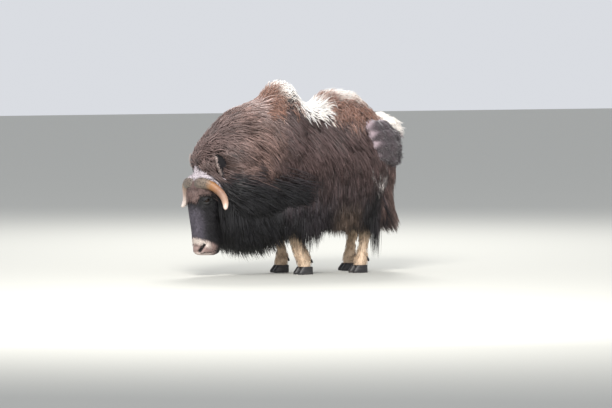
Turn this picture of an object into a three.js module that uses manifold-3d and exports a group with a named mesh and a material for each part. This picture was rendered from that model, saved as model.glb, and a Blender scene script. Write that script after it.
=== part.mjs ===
// A life-size muskox cow, standing with her head lowered and her coat half shed.
// Millimetres. She faces -X, her left side is -Y, and +Z is up from the floor.
import * as THREE from "three";
import { mergeVertices } from "three/addons/utils/BufferGeometryUtils.js";
import Module from "manifold-3d";

const wasm = await Module();
wasm.setup();

// Driving dimensions
const GAP = 0.35; // between two nodes that touch
const CORE = 0.48; // share of the coat's depth that the solid core fills
const COAT_TOP = 92; // depth of the coat over the back
const COAT_SIDE = 78; // and over the ribs
const COAT_BELLY = 60; // and under the belly
const LEG_TOP = 470; // where a leg ends inside the body
const HOOF_HEIGHT = 50;
const NECK_END = -335; // where the neck's core meets the torso's
const HEAD_AXIS = { x: -706, y: -30 }; // the upright line that the hanging head is built round
const HEAD_TURN = THREE.MathUtils.degToRad(12); // to her left
const EYE = { f: 62, l: 77, z: 500, radius: 21 };
const MUZZLE_PAD = { f: 40, l: 0, z: 182, long: 58, wide: 62, high: 44, sides: 12 };
const CHIN = { f: -56, l: 1.3, z: 172, long: 32, wide: 44, high: 32, sides: 8 };
const BROW = { f: 52, l: 67, z: 512, long: 40, wide: 24, high: 38, sides: 8 };
const LID = 6; // how far the lids stand out over the eyeball
const EAR_LEAN = { left: 0, right: -60 }; // how far each ear's tip is laid back

// Two mounds of loosened wool lift the coat along her back.
const WITHERS_MOUND = { begins: -330, full: -150, falls: -130, ends: -35, height: 120 };
const LOINS_MOUND = { begins: 70, full: 215, falls: 350, ends: 520, height: 98 };
const EAR_CUP = { share: 0.74, inset: 15 }; // the hollow is this share of the ear, moved outwards by so much
const DEWCLAW_APART = 20; // from the middle of the leg
const CLAW_APART = 26.5; // from the middle of the hoof

const SEED = 37;
const SHORTEST = 0.05; // corners closer together than this become one
const ROOT_SHARE = 0.02; // where the locks are rooted, in the same measure as CORE
const LOCK_VARY = 0.12; // how much the locks differ in length and width
const TRIMMED = 0.03; // and in length where they hang to one level
const LOCK_LEAN = 0.16; // and in their lie
const LOCK_WALK = 20; // steps along a lock's line
const LOCK_STATIONS = [0, 6, 11, 17, 20]; // the steps that a section or the tip is set at
const SLIM = [0.75, 1, 1, 0.66]; // a lock's half width at each section, as a share
const BLUNT = [0.8, 1, 1.05, 0.9];
const LOCK_DEPTHS = [0.9, 1, 0.9, 0.5];
const EDGE_ROOM = 5; // a lock's sharp edges move out this much further than its faces when it is grown
const LOCK_KEEL = 0.5; // how far its underside lies below its middle, as a share of its depth
const LOCK_RISE = 0.55; // how far along a lock reaches its full height in the coat

// Her flesh from the nape to the rump: x, middle y, top, bottom, half width
const TRUNK = [
  [-752, -29, 716, 672, 26],
  [-738, -28, 748, 640, 54],
  [-712, -26, 784, 580, 80],
  [-675, -23, 820, 505, 104],
  [-630, -18, 860, 436, 132],
  [-560, -11, 918, 385, 158],
  [-440, -4, 990, 352, 186],
  [-290, 0, 1046, 350, 214],
  [-160, 0, 1062, 357, 234],
  [0, 0, 1036, 375, 248],
  [160, 0, 1012, 388, 252],
  [330, 0, 1004, 405, 246],
  [440, 0, 976, 450, 222],
  [512, 0, 924, 520, 180],
  [560, 0, 852, 600, 122],
  [582, 0, 790, 668, 56],
];
const TRUNK_SQUARENESS = 2.3;
const WIDEST_AT = 0.47; // of the way up from her belly

// Her head from the chin to the poll: z, middle forward of the axis, half depth, half width
const HEAD = [
  [139, -6, 44, 34],
  [146, -4, 66, 50],
  [162, -2, 82, 62],
  [190, 0, 90, 69],
  [225, 4, 92, 66],
  [270, 8, 94, 60],
  [330, 13, 98, 61],
  [400, 17, 104, 70],
  [460, 15, 109, 84],
  [520, 10, 111, 96],
  [575, 6, 110, 104],
  [625, 4, 98, 98],
  [655, 4, 74, 76],
  [670, 4, 44, 46],
];
const HEAD_SQUARENESS = 2.5;

// One foot each: where it stands, and its leg from the coronet up: z, x, y, half depth, half width
const FEET = {
  front_left: {
    x: -46,
    y: -135,
    toe_out: 6,
    leg: [
      [50, -40, -135, 46, 44],
      [85, -42, -135, 52, 46],
      [125, -56, -134, 56, 44],
      [190, -84, -131, 50, 40],
      [255, -108, -128, 50, 42],
      [330, -122, -126, 56, 46],
      [LEG_TOP, -132, -124, 70, 56],
    ],
  },
  front_right: {
    x: -80,
    y: 135,
    toe_out: -6,
    leg: [
      [50, -70, 135, 44, 43],
      [85, -66, 135, 45, 44],
      [125, -64, 134, 39, 37],
      [190, -78, 131, 36, 33],
      [255, -96, 128, 44, 40],
      [330, -112, 126, 56, 46],
      [LEG_TOP, -122, 124, 70, 56],
    ],
  },
  rear_left: {
    x: 368,
    y: -128,
    toe_out: 5,
    leg: [
      [50, 382, -128, 46, 42],
      [85, 390, -128, 47, 43],
      [125, 396, -127, 39, 36],
      [190, 406, -125, 34, 31],
      [260, 424, -124, 44, 36],
      [330, 430, -124, 58, 44],
      [LEG_TOP, 410, -124, 82, 58],
    ],
  },
  rear_right: {
    x: 428,
    y: 128,
    toe_out: -5,
    leg: [
      [50, 438, 128, 46, 42],
      [85, 442, 128, 46, 43],
      [125, 444, 127, 38, 36],
      [190, 454, 125, 34, 31],
      [260, 464, 124, 44, 36],
      [330, 462, 124, 58, 44],
      [LEG_TOP, 436, 124, 82, 58],
    ],
  },
};

// One horn's middle line from the boss to the tip: forward, left, z, half height, half thickness
const HORN = [
  [92, 14, 606, 34, 22],
  [92, 55, 609, 37, 27],
  [78, 98, 606, 34, 28],
  [56, 138, 590, 29, 27],
  [32, 170, 560, 27, 25],
  [14, 192, 526, 25, 23],
  [8, 205, 490, 22, 20],
  [14, 216, 462, 17, 16],
  [26, 228, 444, 9, 9],
];

// A dewclaw from its root to its tip: z, behind the leg's surface, radius
const DEWCLAW = [
  [112, -16, 12],
  [94, -3, 13],
  [74, 5, 8],
];

// One claw of a hoof, from the sole up: z, middle behind the foot's place, half length, half width
const CLAW = [
  [0, 4, 60, 25],
  [12, 3, 61, 25.5],
  [32, 9, 53, 23.5],
  [HOOF_HEIGHT, 15, 45, 21],
];

// Her short tail, from the root down: z, x, half width, half thickness
const TAIL = [
  [850, 588, 30, 18],
  [800, 622, 36, 20],
  [735, 646, 38, 20],
  [660, 654, 32, 16],
  [600, 654, 14, 8],
];

// The slit between the lids, from its front corner to its back one: forward, left, z, half height, half depth
const EYE_SLIT = [
  [88, 96, 488, 1.5, 16],
  [76, 104, 493, 8, 22],
  [62, 106, 501, 11, 22],
  [48, 104, 508, 8, 22],
  [36, 98, 513, 1.5, 16],
];

// Half of the mouth line, from its corner down to the middle of the muzzle: z, degrees round from the nose
const MOUTH_DEPTH = 14;
const MOUTH_WIDTH = 5; // half the groove between the lips
const MOUTH = [
  [232, 122],
  [205, 113],
  [178, 105],
  [156, 98],
  [141, 94],
];
// One nostril, from its top to its foot beside the lip: forward, left, z, half width, depth
const NOSTRIL = [
  [58, 60, 216, 5, 12],
  [70, 53, 200, 8, 15],
  [81, 43, 183, 8, 15],
  [86, 36, 168, 5, 12],
];

// One ear's middle line from root to tip: forward, left, z, half width, half thickness
const EAR = [
  [-62, 86, 626, 22, 18],
  [-50, 112, 668, 34, 24],
  [-22, 136, 712, 42, 24],
  [14, 150, 756, 36, 18],
  [44, 156, 792, 14, 9],
];

const SIDES = { left: 1, right: -1 };
const sideList = Object.values(SIDES);

const lerp = (a, b, t) => a + (b - a) * t;
const clamp01 = (t) => Math.min(1, Math.max(0, t));
const smooth = (a, b, x) => {
  const t = clamp01((x - a) / (b - a));
  return t * t * (3 - 2 * t);
};

// A smooth curve through a table's rows: returns every column at a place in the first one.
function alongTable(rows) {
  const slope = (i, c) => {
    const a = rows[Math.max(0, i - 1)];
    const b = rows[Math.min(rows.length - 1, i + 1)];
    return (b[c] - a[c]) / (b[0] - a[0]);
  };
  return (at) => {
    const x = Math.min(rows[rows.length - 1][0], Math.max(rows[0][0], at));
    let i = rows.findIndex((row) => row[0] > x) - 1;
    if (i < 0) i = rows.length - 2;
    const span = rows[i + 1][0] - rows[i][0];
    const t = (x - rows[i][0]) / span;
    return rows[i].map((v, c) => {
      if (c === 0) return x;
      const w = rows[i + 1][c];
      const steep = [slope(i, c) * span, slope(i + 1, c) * span];
      return (
        (1 + 2 * t) * (1 - t) ** 2 * v +
        t * (1 - t) ** 2 * steep[0] +
        t * t * (3 - 2 * t) * w +
        t * t * (t - 1) * steep[1]
      );
    });
  };
}

// Solids
function solidOf(points, faces) {
  let six = 0;
  for (let i = 0; i < faces.length; i += 3) {
    const [a, b, c] = [points[faces[i]], points[faces[i + 1]], points[faces[i + 2]]];
    six += a.dot(b.clone().cross(c));
  }
  if (six < 0)
    for (let i = 0; i < faces.length; i += 3)
      [faces[i + 1], faces[i + 2]] = [faces[i + 2], faces[i + 1]];
  return new wasm.Manifold(
    new wasm.Mesh({
      numProp: 3,
      vertProperties: new Float32Array(points.flatMap((p) => [p.x, p.y, p.z])),
      triVerts: new Uint32Array(faces),
    }),
  );
}

// Rings of equal count joined in order. The ends close with a fan, or in a point where a ring is one point.
function loft(rings) {
  const points = [];
  const starts = rings.map((ring) => {
    const start = points.length;
    points.push(...ring);
    return start;
  });
  const faces = [];
  for (let k = 0; k + 1 < rings.length; k++) {
    const n = rings[k].length;
    const tip = rings[k + 1].length === 1;
    for (let i = 0; i < n; i++) {
      const a = starts[k] + i;
      const b = starts[k] + ((i + 1) % n);
      if (tip) {
        faces.push(a, b, starts[k + 1]);
      } else {
        const c = starts[k + 1] + i;
        const d = starts[k + 1] + ((i + 1) % n);
        faces.push(a, b, d, a, d, c);
      }
    }
  }
  const capped = (k, turned) => {
    const n = rings[k].length;
    if (n === 1) return;
    for (let i = 1; i + 1 < n; i++) {
      const fan = [starts[k], starts[k] + i + 1, starts[k] + i];
      faces.push(...(turned ? fan.reverse() : fan));
    }
  };
  capped(0, false);
  capped(rings.length - 1, true);
  return solidOf(points, faces);
}

const join = (solids) => solids.reduce((all, one) => all.add(one));
const cutBy = (solid, cutters) => cutters.reduce((left, cutter) => left.subtract(cutter), solid);

function largest(solid) {
  const pieces = solid.decompose();
  return pieces.reduce((best, piece) => (piece.volume() > best.volume() ? piece : best));
}

// Where two faces nearly meet, a join leaves corners closer together than any real detail. They become one
// corner, and the slivers between them go.
function welded(corners, faces) {
  const same = Array.from({ length: corners.length / 3 }, (_, i) => i);
  const first = (i) => (same[i] === i ? i : first(same[i]));
  const at = (i) => new THREE.Vector3().fromArray(corners, 3 * i);
  faces.forEach((corner, i) => {
    const next = faces[i % 3 === 2 ? i - 2 : i + 1];
    if (at(corner).distanceTo(at(next)) < SHORTEST) same[first(next)] = first(corner);
  });
  const kept = [];
  for (let i = 0; i < faces.length; i += 3) {
    const triangle = Array.from(faces.slice(i, i + 3), first);
    if (new Set(triangle).size === 3) kept.push(...triangle);
  }
  return kept;
}
function geometryOf(solid) {
  const mesh = solid.getMesh();
  const geometry = new THREE.BufferGeometry();
  geometry.setAttribute("position", new THREE.BufferAttribute(mesh.vertProperties, 3));
  geometry.setIndex(welded(mesh.vertProperties, mesh.triVerts));
  const trimmed = mergeVertices(geometry);
  trimmed.computeVertexNormals();
  return trimmed;
}

// Her body's cross sections, upright and across her length
const trunkTable = alongTable(TRUNK);
const TRUNK_FRONT = TRUNK[0][0];
const TRUNK_REAR = TRUNK[TRUNK.length - 1][0];

const moundAt = (x, m) => m.height * smooth(m.begins, m.full, x) * (1 - smooth(m.falls, m.ends, x));
const moundOver = (x) => moundAt(x, WITHERS_MOUND) + moundAt(x, LOINS_MOUND);

// How far a ring slides along the body when the form is made thicker
const endSlide = (x) => smooth(380, TRUNK_REAR, x) - 0.7 * (1 - smooth(TRUNK_FRONT, -600, x));

// The coat thins out towards both ends of the trunk
function endThin(x) {
  const front = smooth(TRUNK_FRONT, TRUNK_FRONT + 60, x);
  const rear = smooth(TRUNK_REAR, TRUNK_REAR - 70, x);
  return lerp(0.3, 1, front * rear);
}

// The section at x of the form that lies a share of the coat's depth outside the flesh
function trunkSection(x, share, grow = 0) {
  const [, y, top, bottom, half] = trunkTable(x);
  const neck = 1 - smooth(-520, -240, x);
  const nape = 1 - smooth(TRUNK_FRONT, -600, x);
  const deep = share * endThin(x);
  const mid = lerp(bottom, top, WIDEST_AT);
  return {
    y,
    mid,
    up: top - mid + deep * lerp(COAT_TOP, lerp(118, 62, nape), neck) + grow,
    down: mid - bottom + deep * lerp(COAT_BELLY, lerp(70, 0, nape), neck) + grow,
    half: half + deep * lerp(COAT_SIDE, lerp(92, 34, nape), neck) + grow,
    mound: share * moundOver(x),
  };
}

// A point of that form. The angle runs from her spine (0) down her left side to her belly (pi).
function trunkPoint(x, angle, share, grow = 0) {
  const s = trunkSection(x, share, grow);
  const power = 2 / TRUNK_SQUARENESS;
  const across = Math.sign(Math.sin(angle)) * Math.abs(Math.sin(angle)) ** power;
  const upright = Math.sign(Math.cos(angle)) * Math.abs(Math.cos(angle)) ** power;
  const ridge = s.mound * Math.max(0, upright) ** 3;
  return new THREE.Vector3(
    x + endSlide(x) * (share * COAT_SIDE + grow),
    s.y - s.half * across,
    s.mid + (upright > 0 ? s.up : s.down) * upright + ridge,
  );
}

function trunkForm(from, to, rings, sides, share, grow = 0) {
  const made = [];
  for (let k = 0; k <= rings; k++) {
    const x = lerp(from, to, k / rings);
    made.push(
      Array.from({ length: sides }, (_, i) => trunkPoint(x, (2 * Math.PI * (i + 0.5)) / sides, share, grow)),
    );
  }
  return loft(made);
}

// Her head hangs from the poll. Its places are given forward of the axis, to her left of it, and in height.
const headTable = alongTable(HEAD);
const forward = new THREE.Vector3(-Math.cos(HEAD_TURN), -Math.sin(HEAD_TURN), 0);
const leftward = new THREE.Vector3(Math.sin(HEAD_TURN), -Math.cos(HEAD_TURN), 0);
const headPlace = (f, l, z) =>
  new THREE.Vector3(HEAD_AXIS.x, HEAD_AXIS.y, z).addScaledVector(forward, f).addScaledVector(leftward, l);

function headPoint(z, angle, out) {
  const [, middle, deep, half] = headTable(z);
  const power = 2 / HEAD_SQUARENESS;
  const along = Math.sign(Math.cos(angle)) * Math.abs(Math.cos(angle)) ** power;
  const across = Math.sign(Math.sin(angle)) * Math.abs(Math.sin(angle)) ** power;
  return headPlace(middle + (deep + out) * along, (half + out) * across, z);
}

function headForm(rings, sides, out) {
  const [low, high] = [HEAD[0][0], HEAD[HEAD.length - 1][0]];
  const made = [];
  for (let k = 0; k <= rings; k++) {
    const z = lerp(low, high, (1 - Math.cos((Math.PI * k) / rings)) / 2);
    const slide = k === 0 ? -out : k === rings ? out : 0;
    made.push(
      Array.from({ length: sides }, (_, i) => {
        const p = headPoint(z, (2 * Math.PI * i) / sides, out);
        p.z += slide;
        return p;
      }),
    );
  }
  return loft(made);
}

// A bar along a line of places, each with its half sizes along two cross directions
function bar(places, sides, grow, referenceUp) {
  const rings = places.map((place, k) => {
    const before = places[Math.max(0, k - 1)].p;
    const after = places[Math.min(places.length - 1, k + 1)].p;
    const tangent = after.clone().sub(before).normalize();
    const side = tangent.clone().cross(referenceUp).normalize();
    const up = side.clone().cross(tangent).normalize();
    const end = k === 0 ? -grow : k === places.length - 1 ? grow : 0;
    return Array.from({ length: sides }, (_, i) => {
      const a = (2 * Math.PI * i) / sides;
      return place.p
        .clone()
        .addScaledVector(up, (place.a + grow) * Math.cos(a))
        .addScaledVector(side, (place.b + grow) * Math.sin(a))
        .addScaledVector(tangent, end);
    });
  });
  return loft(rings);
}

// A finer run of places through a table of head places
function headLine(rows, count) {
  const curve = alongTable(rows.map((row, k) => [k, ...row]));
  return Array.from({ length: count }, (_, i) => {
    const [, f, l, z, a, b] = curve((i * (rows.length - 1)) / (count - 1));
    return { f, l, z, a, b };
  });
}

function ball(f, l, z, long, wide, high, grow, sides = 12) {
  const rings = [];
  const bands = sides / 2;
  for (let k = 1; k < bands; k++) {
    const up = Math.cos((Math.PI * k) / bands);
    const out = Math.sin((Math.PI * k) / bands);
    rings.push(
      Array.from({ length: sides }, (_, i) => {
        const turn = (2 * Math.PI * i) / sides;
        return headPlace(
          f + (long + grow) * out * Math.cos(turn),
          l + (wide + grow) * out * Math.sin(turn),
          z + (high + grow) * up,
        );
      }),
    );
  }
  return loftBetween(headPlace(f, l, z + high + grow), rings, headPlace(f, l, z - high - grow));
}

// Rings between two end points
function loftBetween(first, rings, last) {
  const points = [first, ...rings.flat(), last];
  const n = rings[0].length;
  const faces = [];
  const at = (k, i) => 1 + k * n + (i % n);
  for (let i = 0; i < n; i++) {
    faces.push(0, at(0, i + 1), at(0, i));
    for (let k = 0; k + 1 < rings.length; k++) {
      faces.push(at(k, i), at(k, i + 1), at(k + 1, i + 1));
      faces.push(at(k, i), at(k + 1, i + 1), at(k + 1, i));
    }
    faces.push(at(rings.length - 1, i), at(rings.length - 1, i + 1), points.length - 1);
  }
  return solidOf(points, faces);
}

function horn(side, grow) {
  const places = headLine(HORN, 12).map((h) => ({ p: headPlace(h.f, side * h.l, h.z), a: h.b, b: h.a }));
  return bar(places, 9, grow, forward);
}

function earForm(side, grow, scale, inset) {
  const lean = side > 0 ? EAR_LEAN.left : EAR_LEAN.right;
  const places = headLine(EAR, 7).map((e, i) => ({
    p: headPlace(e.f + lean * (i / 6) ** 1.5, side * (e.l + inset), e.z + inset * (i < 2 ? 1.6 : 0)),
    a: e.b * scale,
    b: e.a * scale,
  }));
  return bar(places, 8, grow, leftward.clone().multiplyScalar(side));
}

function ear(side, grow) {
  const outer = earForm(side, grow, 1, 0);
  return grow > 0 ? outer : outer.subtract(earForm(side, 0, EAR_CUP.share, EAR_CUP.inset));
}

const eye = (side, grow) => ball(EYE.f, side * EYE.l, EYE.z, EYE.radius, EYE.radius, EYE.radius, grow);

// The muzzle pad, the chin, the brows and the lids swell out of the head.
function headForms(grow) {
  const forms = [headForm(15, 16, grow), swelling(MUZZLE_PAD, 1, grow), swelling(CHIN, 1, grow)];
  for (const side of sideList) forms.push(swelling(BROW, side, grow), lids(side, grow));
  return join(forms);
}
const swelling = ({ f, l, z, long, wide, high, sides }, side, grow) =>
  ball(f, side * l, z, long, wide, high, grow, sides);
const lids = (side, grow) => {
  const radius = EYE.radius + LID;
  return ball(EYE.f, side * EYE.l, EYE.z, radius, radius, radius, grow);
};

function nostril(side) {
  const places = headLine(NOSTRIL, 6).map(({ f, l, z, a, b }) => ({
    p: headPlace(f, side * l, z),
    a: b,
    b: a,
  }));
  return bar(places, 6, 0, leftward.clone().multiplyScalar(side));
}

function mouthLine() {
  const half = MOUTH.map(([z, turn]) => headPoint(z, THREE.MathUtils.degToRad(turn), 3));
  const other = MOUTH.map(([z, turn]) => headPoint(z, THREE.MathUtils.degToRad(-turn), 3));
  const middle = half[half.length - 1].clone().add(other[other.length - 1]).multiplyScalar(0.5);
  middle.z -= 4;
  return bar(
    [...half, middle, ...other.reverse()].map((p) => ({ p, a: MOUTH_DEPTH, b: MOUTH_WIDTH })),
    6,
    0,
    forward.clone().addScaledVector(new THREE.Vector3(0, 0, 1), 0.3).normalize(),
  );
}

function eyeSlit(side) {
  const places = EYE_SLIT.map(([f, l, z, a, b]) => ({ p: headPlace(f, side * l, z), a, b }));
  return bar(places, 8, 0, new THREE.Vector3(0, 0, 1));
}

function leg(foot, grow) {
  const table = alongTable(foot.leg);
  const [low, high] = [HOOF_HEIGHT + GAP, LEG_TOP];
  const rings = [];
  for (let k = 0; k <= 8; k++) {
    const z = lerp(low, high, k / 8);
    const [, x, y, deep, half] = table(z);
    rings.push(
      Array.from({ length: 10 }, (_, i) => {
        const a = (2 * Math.PI * i) / 10;
        const end = k === 0 ? -grow : k === 8 ? grow : 0;
        return new THREE.Vector3(x + (deep + grow) * Math.cos(a), y + (half + grow) * Math.sin(a), z + end);
      }),
    );
  }
  const claws = [-1, 1].map((side) => dewclaw(table, side, grow));
  return join([loft(rings), ...claws]);
}

// The small claw that sits behind the fetlock, on each side
function dewclaw(legTable, side, grow) {
  const places = DEWCLAW.map(([z, behind, size]) => {
    const [, x, y, deep] = legTable(z);
    return { p: new THREE.Vector3(x + deep + behind, y + side * DEWCLAW_APART, z), a: size, b: size };
  });
  return bar(places, 6, grow, new THREE.Vector3(1, 0, 0));
}

// One claw of a cloven hoof, flat underneath, its outer wall sloping in to the coronet
function claw(foot, side) {
  const turn = THREE.MathUtils.degToRad(foot.toe_out);
  const rings = CLAW.map(([z, back, long, half]) =>
    Array.from({ length: 10 }, (_, i) => {
      const a = (2 * Math.PI * i) / 10;
      const nose = Math.cos(a) < 0 ? 1 : 0.82;
      const x = back + long * nose * Math.cos(a);
      const y = side * CLAW_APART + half * Math.sign(Math.sin(a)) * Math.abs(Math.sin(a)) ** 0.8;
      return new THREE.Vector3(
        foot.x + x * Math.cos(turn) - y * Math.sin(turn),
        foot.y + x * Math.sin(turn) + y * Math.cos(turn),
        z,
      );
    }),
  );
  return loft(rings);
}

// How far a place lies outside the trunk's form at a share of the coat, below 0 inside it
function outsideTrunk(p, share) {
  let [front, rear] = [TRUNK_FRONT, TRUNK_REAR];
  for (let i = 0; i < 14; i++) {
    const middle = (front + rear) / 2;
    if (middle + endSlide(middle) * share * COAT_SIDE < p.x) front = middle;
    else rear = middle;
  }
  const x = (front + rear) / 2;
  const past = Math.abs(p.x - x - endSlide(x) * share * COAT_SIDE);
  const s = trunkSection(x, share);
  const across = Math.abs(p.y - s.y) / s.half;
  const dz = p.z - s.mid;
  let upright = dz > 0 ? dz / (s.up + s.mound) : -dz / s.down;
  if (dz > 0) {
    for (let i = 0; i < 4; i++) {
      upright -= (s.up * upright + s.mound * upright ** 3 - dz) / (s.up + 3 * s.mound * upright ** 2);
    }
  }
  return across ** TRUNK_SQUARENESS + upright ** TRUNK_SQUARENESS - 1 + past / 60;
}

// The share of the coat at a place: 0 on the flesh, 1 where the tips lie
function shareAt(p) {
  let [low, high] = [-1.5, 7];
  for (let i = 0; i < 16; i++) {
    const middle = (low + high) / 2;
    if (outsideTrunk(p, middle) > 0) low = middle;
    else high = middle;
  }
  return (low + high) / 2;
}

// The way out of the body at a place, as long as the share's change over one millimetre
function wayOut(p) {
  const step = 4;
  const change = ["x", "y", "z"].map((axis) => {
    const [before, after] = [p.clone(), p.clone()];
    before[axis] -= step;
    after[axis] += step;
    return (shareAt(after) - shareAt(before)) / (2 * step);
  });
  return new THREE.Vector3(...change);
}

const THROAT_LIE = new THREE.Vector3(0.62, 0, -0.78);
const REAR_LIE = new THREE.Vector3(0.1, 0, -0.99);

// Which way the hair lies. On the back it runs to the rear, on the flanks it turns to hang straight down.
function lieAt(p, out) {
  const side = p.y < trunkTable(p.x)[1] ? -1 : 1;
  const round = Math.atan2(Math.abs(out.y), out.z);
  const neck = 1 - smooth(-430, -200, p.x);
  const steep = THREE.MathUtils.degToRad(
    lerp(12 + 78 * smooth(0.15, 1.3, round), 8 + 27 * smooth(0.3, 1.5, round), neck),
  );
  const down = new THREE.Vector3(0, side * Math.max(0, out.z), -Math.abs(out.y) - 0.15).normalize();
  const along = new THREE.Vector3(Math.cos(steep), 0, 0).addScaledVector(down, Math.sin(steep));
  const throat = neck * smooth(560, 400, p.z);
  const rear = smooth(470, 600, p.x);
  return along.lerp(THROAT_LIE, throat).lerp(REAR_LIE, rear).normalize();
}
// Along the top of the back, straight to the rear
const straightBack = (p, out) => {
  const along = new THREE.Vector3(0, 1, 0).cross(out).normalize();
  return along.x < 0 ? along.negate() : along;
};
// Under the throat, down and swept back
const throatLie = (p) => {
  const swept = smooth(-600, -430, p.x);
  return new THREE.Vector3(lerp(0.05, 0.42, swept), 0, lerp(-1, -0.9, swept)).normalize();
};
// Behind the thighs, down and flaring to the rear
const rumpLie = (p) => new THREE.Vector3(lerp(0.08, 0.42, smooth(680, 360, p.z)), 0, -1).normalize();

// A seeded run of numbers between 0 and 1
function seeded(seed) {
  let state = seed;
  return () => {
    state = (state + 0x6d2b79f5) | 0;
    let t = Math.imul(state ^ (state >>> 15), 1 | state);
    t = (t + Math.imul(t ^ (t >>> 7), 61 | t)) ^ t;
    return ((t ^ (t >>> 14)) >>> 0) / 4294967296;
  };
}
const draw = seeded(SEED);
const vary = (size, share = LOCK_VARY) => size * (1 + share * (2 * draw() - 1));

// The line of one lock: it leaves the flesh, slides over the coat below it and ends in the open
function lockLine(root, length, { lift, lie = lieAt, rise = LOCK_RISE }) {
  const places = [];
  const p = root.clone();
  const step = length / LOCK_WALK;
  const lean = (2 * draw() - 1) * LOCK_LEAN;
  for (let i = 0; i <= LOCK_WALK; i++) {
    const slope = wayOut(p);
    const out = slope.clone().normalize();
    if (LOCK_STATIONS.includes(i)) places.push({ p: p.clone(), out });
    const way = lie(p, out);
    way.addScaledVector(way.clone().cross(out), lean * Math.sin((Math.PI * i) / LOCK_WALK));
    p.addScaledVector(way.normalize(), step);
    const wanted = lerp(ROOT_SHARE, lift, smooth(0, rise, (i + 1) / LOCK_WALK));
    const short = wanted - shareAt(p);
    if (short > 0) {
      const push = wayOut(p);
      p.addScaledVector(push, Math.min(short / push.lengthSq(), 60 / push.length()));
    }
  }
  return places;
}

// A lock is flat and widest near its middle. Its underside is flat, its upper side has a low ridge, and it
// tapers to a point.
function lockSolid({ places, half, thick, widths, keel }, grow) {
  const rings = places.slice(0, -1).map(({ p, out }, k) => {
    const along = places[k + 1].p
      .clone()
      .sub(places[Math.max(0, k - 1)].p)
      .normalize();
    const across = along.clone().cross(out).normalize();
    const up = across.clone().cross(along);
    const wide = half * widths[k] + EDGE_ROOM * grow;
    const deep = thick * LOCK_DEPTHS[k];
    const middle = p.clone().addScaledVector(along, k === 0 ? -grow : 0);
    const under = middle.clone().addScaledVector(up, -deep * keel - grow);
    return [
      under.clone().addScaledVector(across, wide),
      middle.clone().addScaledVector(up, deep + grow),
      under.clone().addScaledVector(across, -wide),
    ];
  });
  const tip = places[places.length - 1].p.clone();
  const last = tip.clone().sub(places[places.length - 2].p).normalize();
  rings.push([tip.addScaledVector(last, EDGE_ROOM * grow)]);
  return loft(rings);
}

// A clump of shed wool, rounded and set close to its neighbours
const roundForm = new THREE.DodecahedronGeometry(1, 0);
roundForm.deleteAttribute("normal");
roundForm.deleteAttribute("uv");
const clumpForm = mergeVertices(roundForm);
function clumpSolid({ at, radii, turn }, grow) {
  const corners = clumpForm.getAttribute("position");
  const points = Array.from({ length: corners.count }, (_, i) => {
    const p = new THREE.Vector3().fromBufferAttribute(corners, i).applyEuler(turn);
    return p.multiply(radii.clone().addScalar(grow)).add(at);
  });
  return solidOf(points, Array.from(clumpForm.index.array));
}

const rootAt = (x, degrees) => trunkPoint(x, THREE.MathUtils.degToRad(degrees), ROOT_SHARE);

// One lock from its root's place along the trunk and round it, in degrees from the spine down her left side
function makeLock(kind, x, degrees, length) {
  const places = lockLine(rootAt(x, degrees), vary(length, kind.slack ? TRIMMED : LOCK_VARY), kind);
  const { thick, widths = SLIM, keel = LOCK_KEEL } = kind;
  return { places, half: vary(kind.half), thick, widths, keel };
}

// Rows of locks on both sides alike. Odd rows use the second list of angles, so that they sit like shingles.
function lockRows(kind) {
  const locks = [];
  for (let k = 0; k < kind.rows; k++) {
    const x = lerp(kind.from, kind.to, k / (kind.rows - 1));
    for (const degrees of kind.angles[k % kind.angles.length]) {
      for (const side of degrees === 0 ? [1] : [1, -1]) {
        const shift = 14 * (2 * draw() - 1);
        const turn = 3 * (2 * draw() - 1);
        locks.push(makeLock(kind, x + shift, side * degrees + turn, kind.length));
      }
    }
  }
  return locks;
}

// Locks that hang free to a height above the floor: each place has x, degrees and the tip's height
function hangingLocks(kind, places) {
  return places.map(([x, degrees, foot]) => {
    const fall = rootAt(x, degrees).z - foot;
    return makeLock(kind, x, degrees, fall * kind.slack);
  });
}

function tailForm(grow) {
  return loft(
    TAIL.map(([z, x, half, thick], k) =>
      Array.from({ length: 10 }, (_, i) => {
        const a = (2 * Math.PI * i) / 10;
        const end = k === 0 ? grow : k === TAIL.length - 1 ? -grow : 0;
        return new THREE.Vector3(x + (thick + grow) * Math.cos(a), (half + grow) * Math.sin(a), z + end);
      }),
    ),
  );
}

// The mane lies back from the nape to tips over the shoulders.
const MANE = {
  from: -700,
  to: -425,
  rows: 4,
  length: 280,
  half: 48,
  thick: 17,
  lift: 0.9,
  angles: [
    [24, 54, 92],
    [38, 72, 112],
  ],
};
const POLL = {
  from: -752,
  to: -728,
  rows: 2,
  length: 180,
  half: 46,
  thick: 24,
  lift: 1.3,
  rise: 0.8,
  lie: straightBack,
  angles: [[0, 58], [30]],
};
const MANE_CREST = {
  from: -705,
  to: -345,
  rows: 6,
  length: 215,
  half: 54,
  thick: 30,
  lift: 1.02,
  rise: 0.7,
  keel: 1.5,
  lie: straightBack,
  angles: [[9], [0]],
};
const BEARD = { half: 58, thick: 20, lift: 0.7, slack: 1.04, lie: throatLie, widths: BLUNT };
// Along the trunk, degrees round it from the spine, height of the tip
const BEARD_PLACES = [
  [-622, 180, 160],
  [-600, -150, 172],
  [-590, 146, 176],
  [-580, 176, 136],
  [-545, -164, 130],
  [-540, 160, 130],
  [-505, 182, 118],
  [-500, 134, 160],
  [-500, -134, 160],
  [-455, 164, 116],
  [-455, -160, 120],
  [-420, 180, 124],
  [-385, 142, 170],
  [-385, -142, 170],
];

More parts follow.
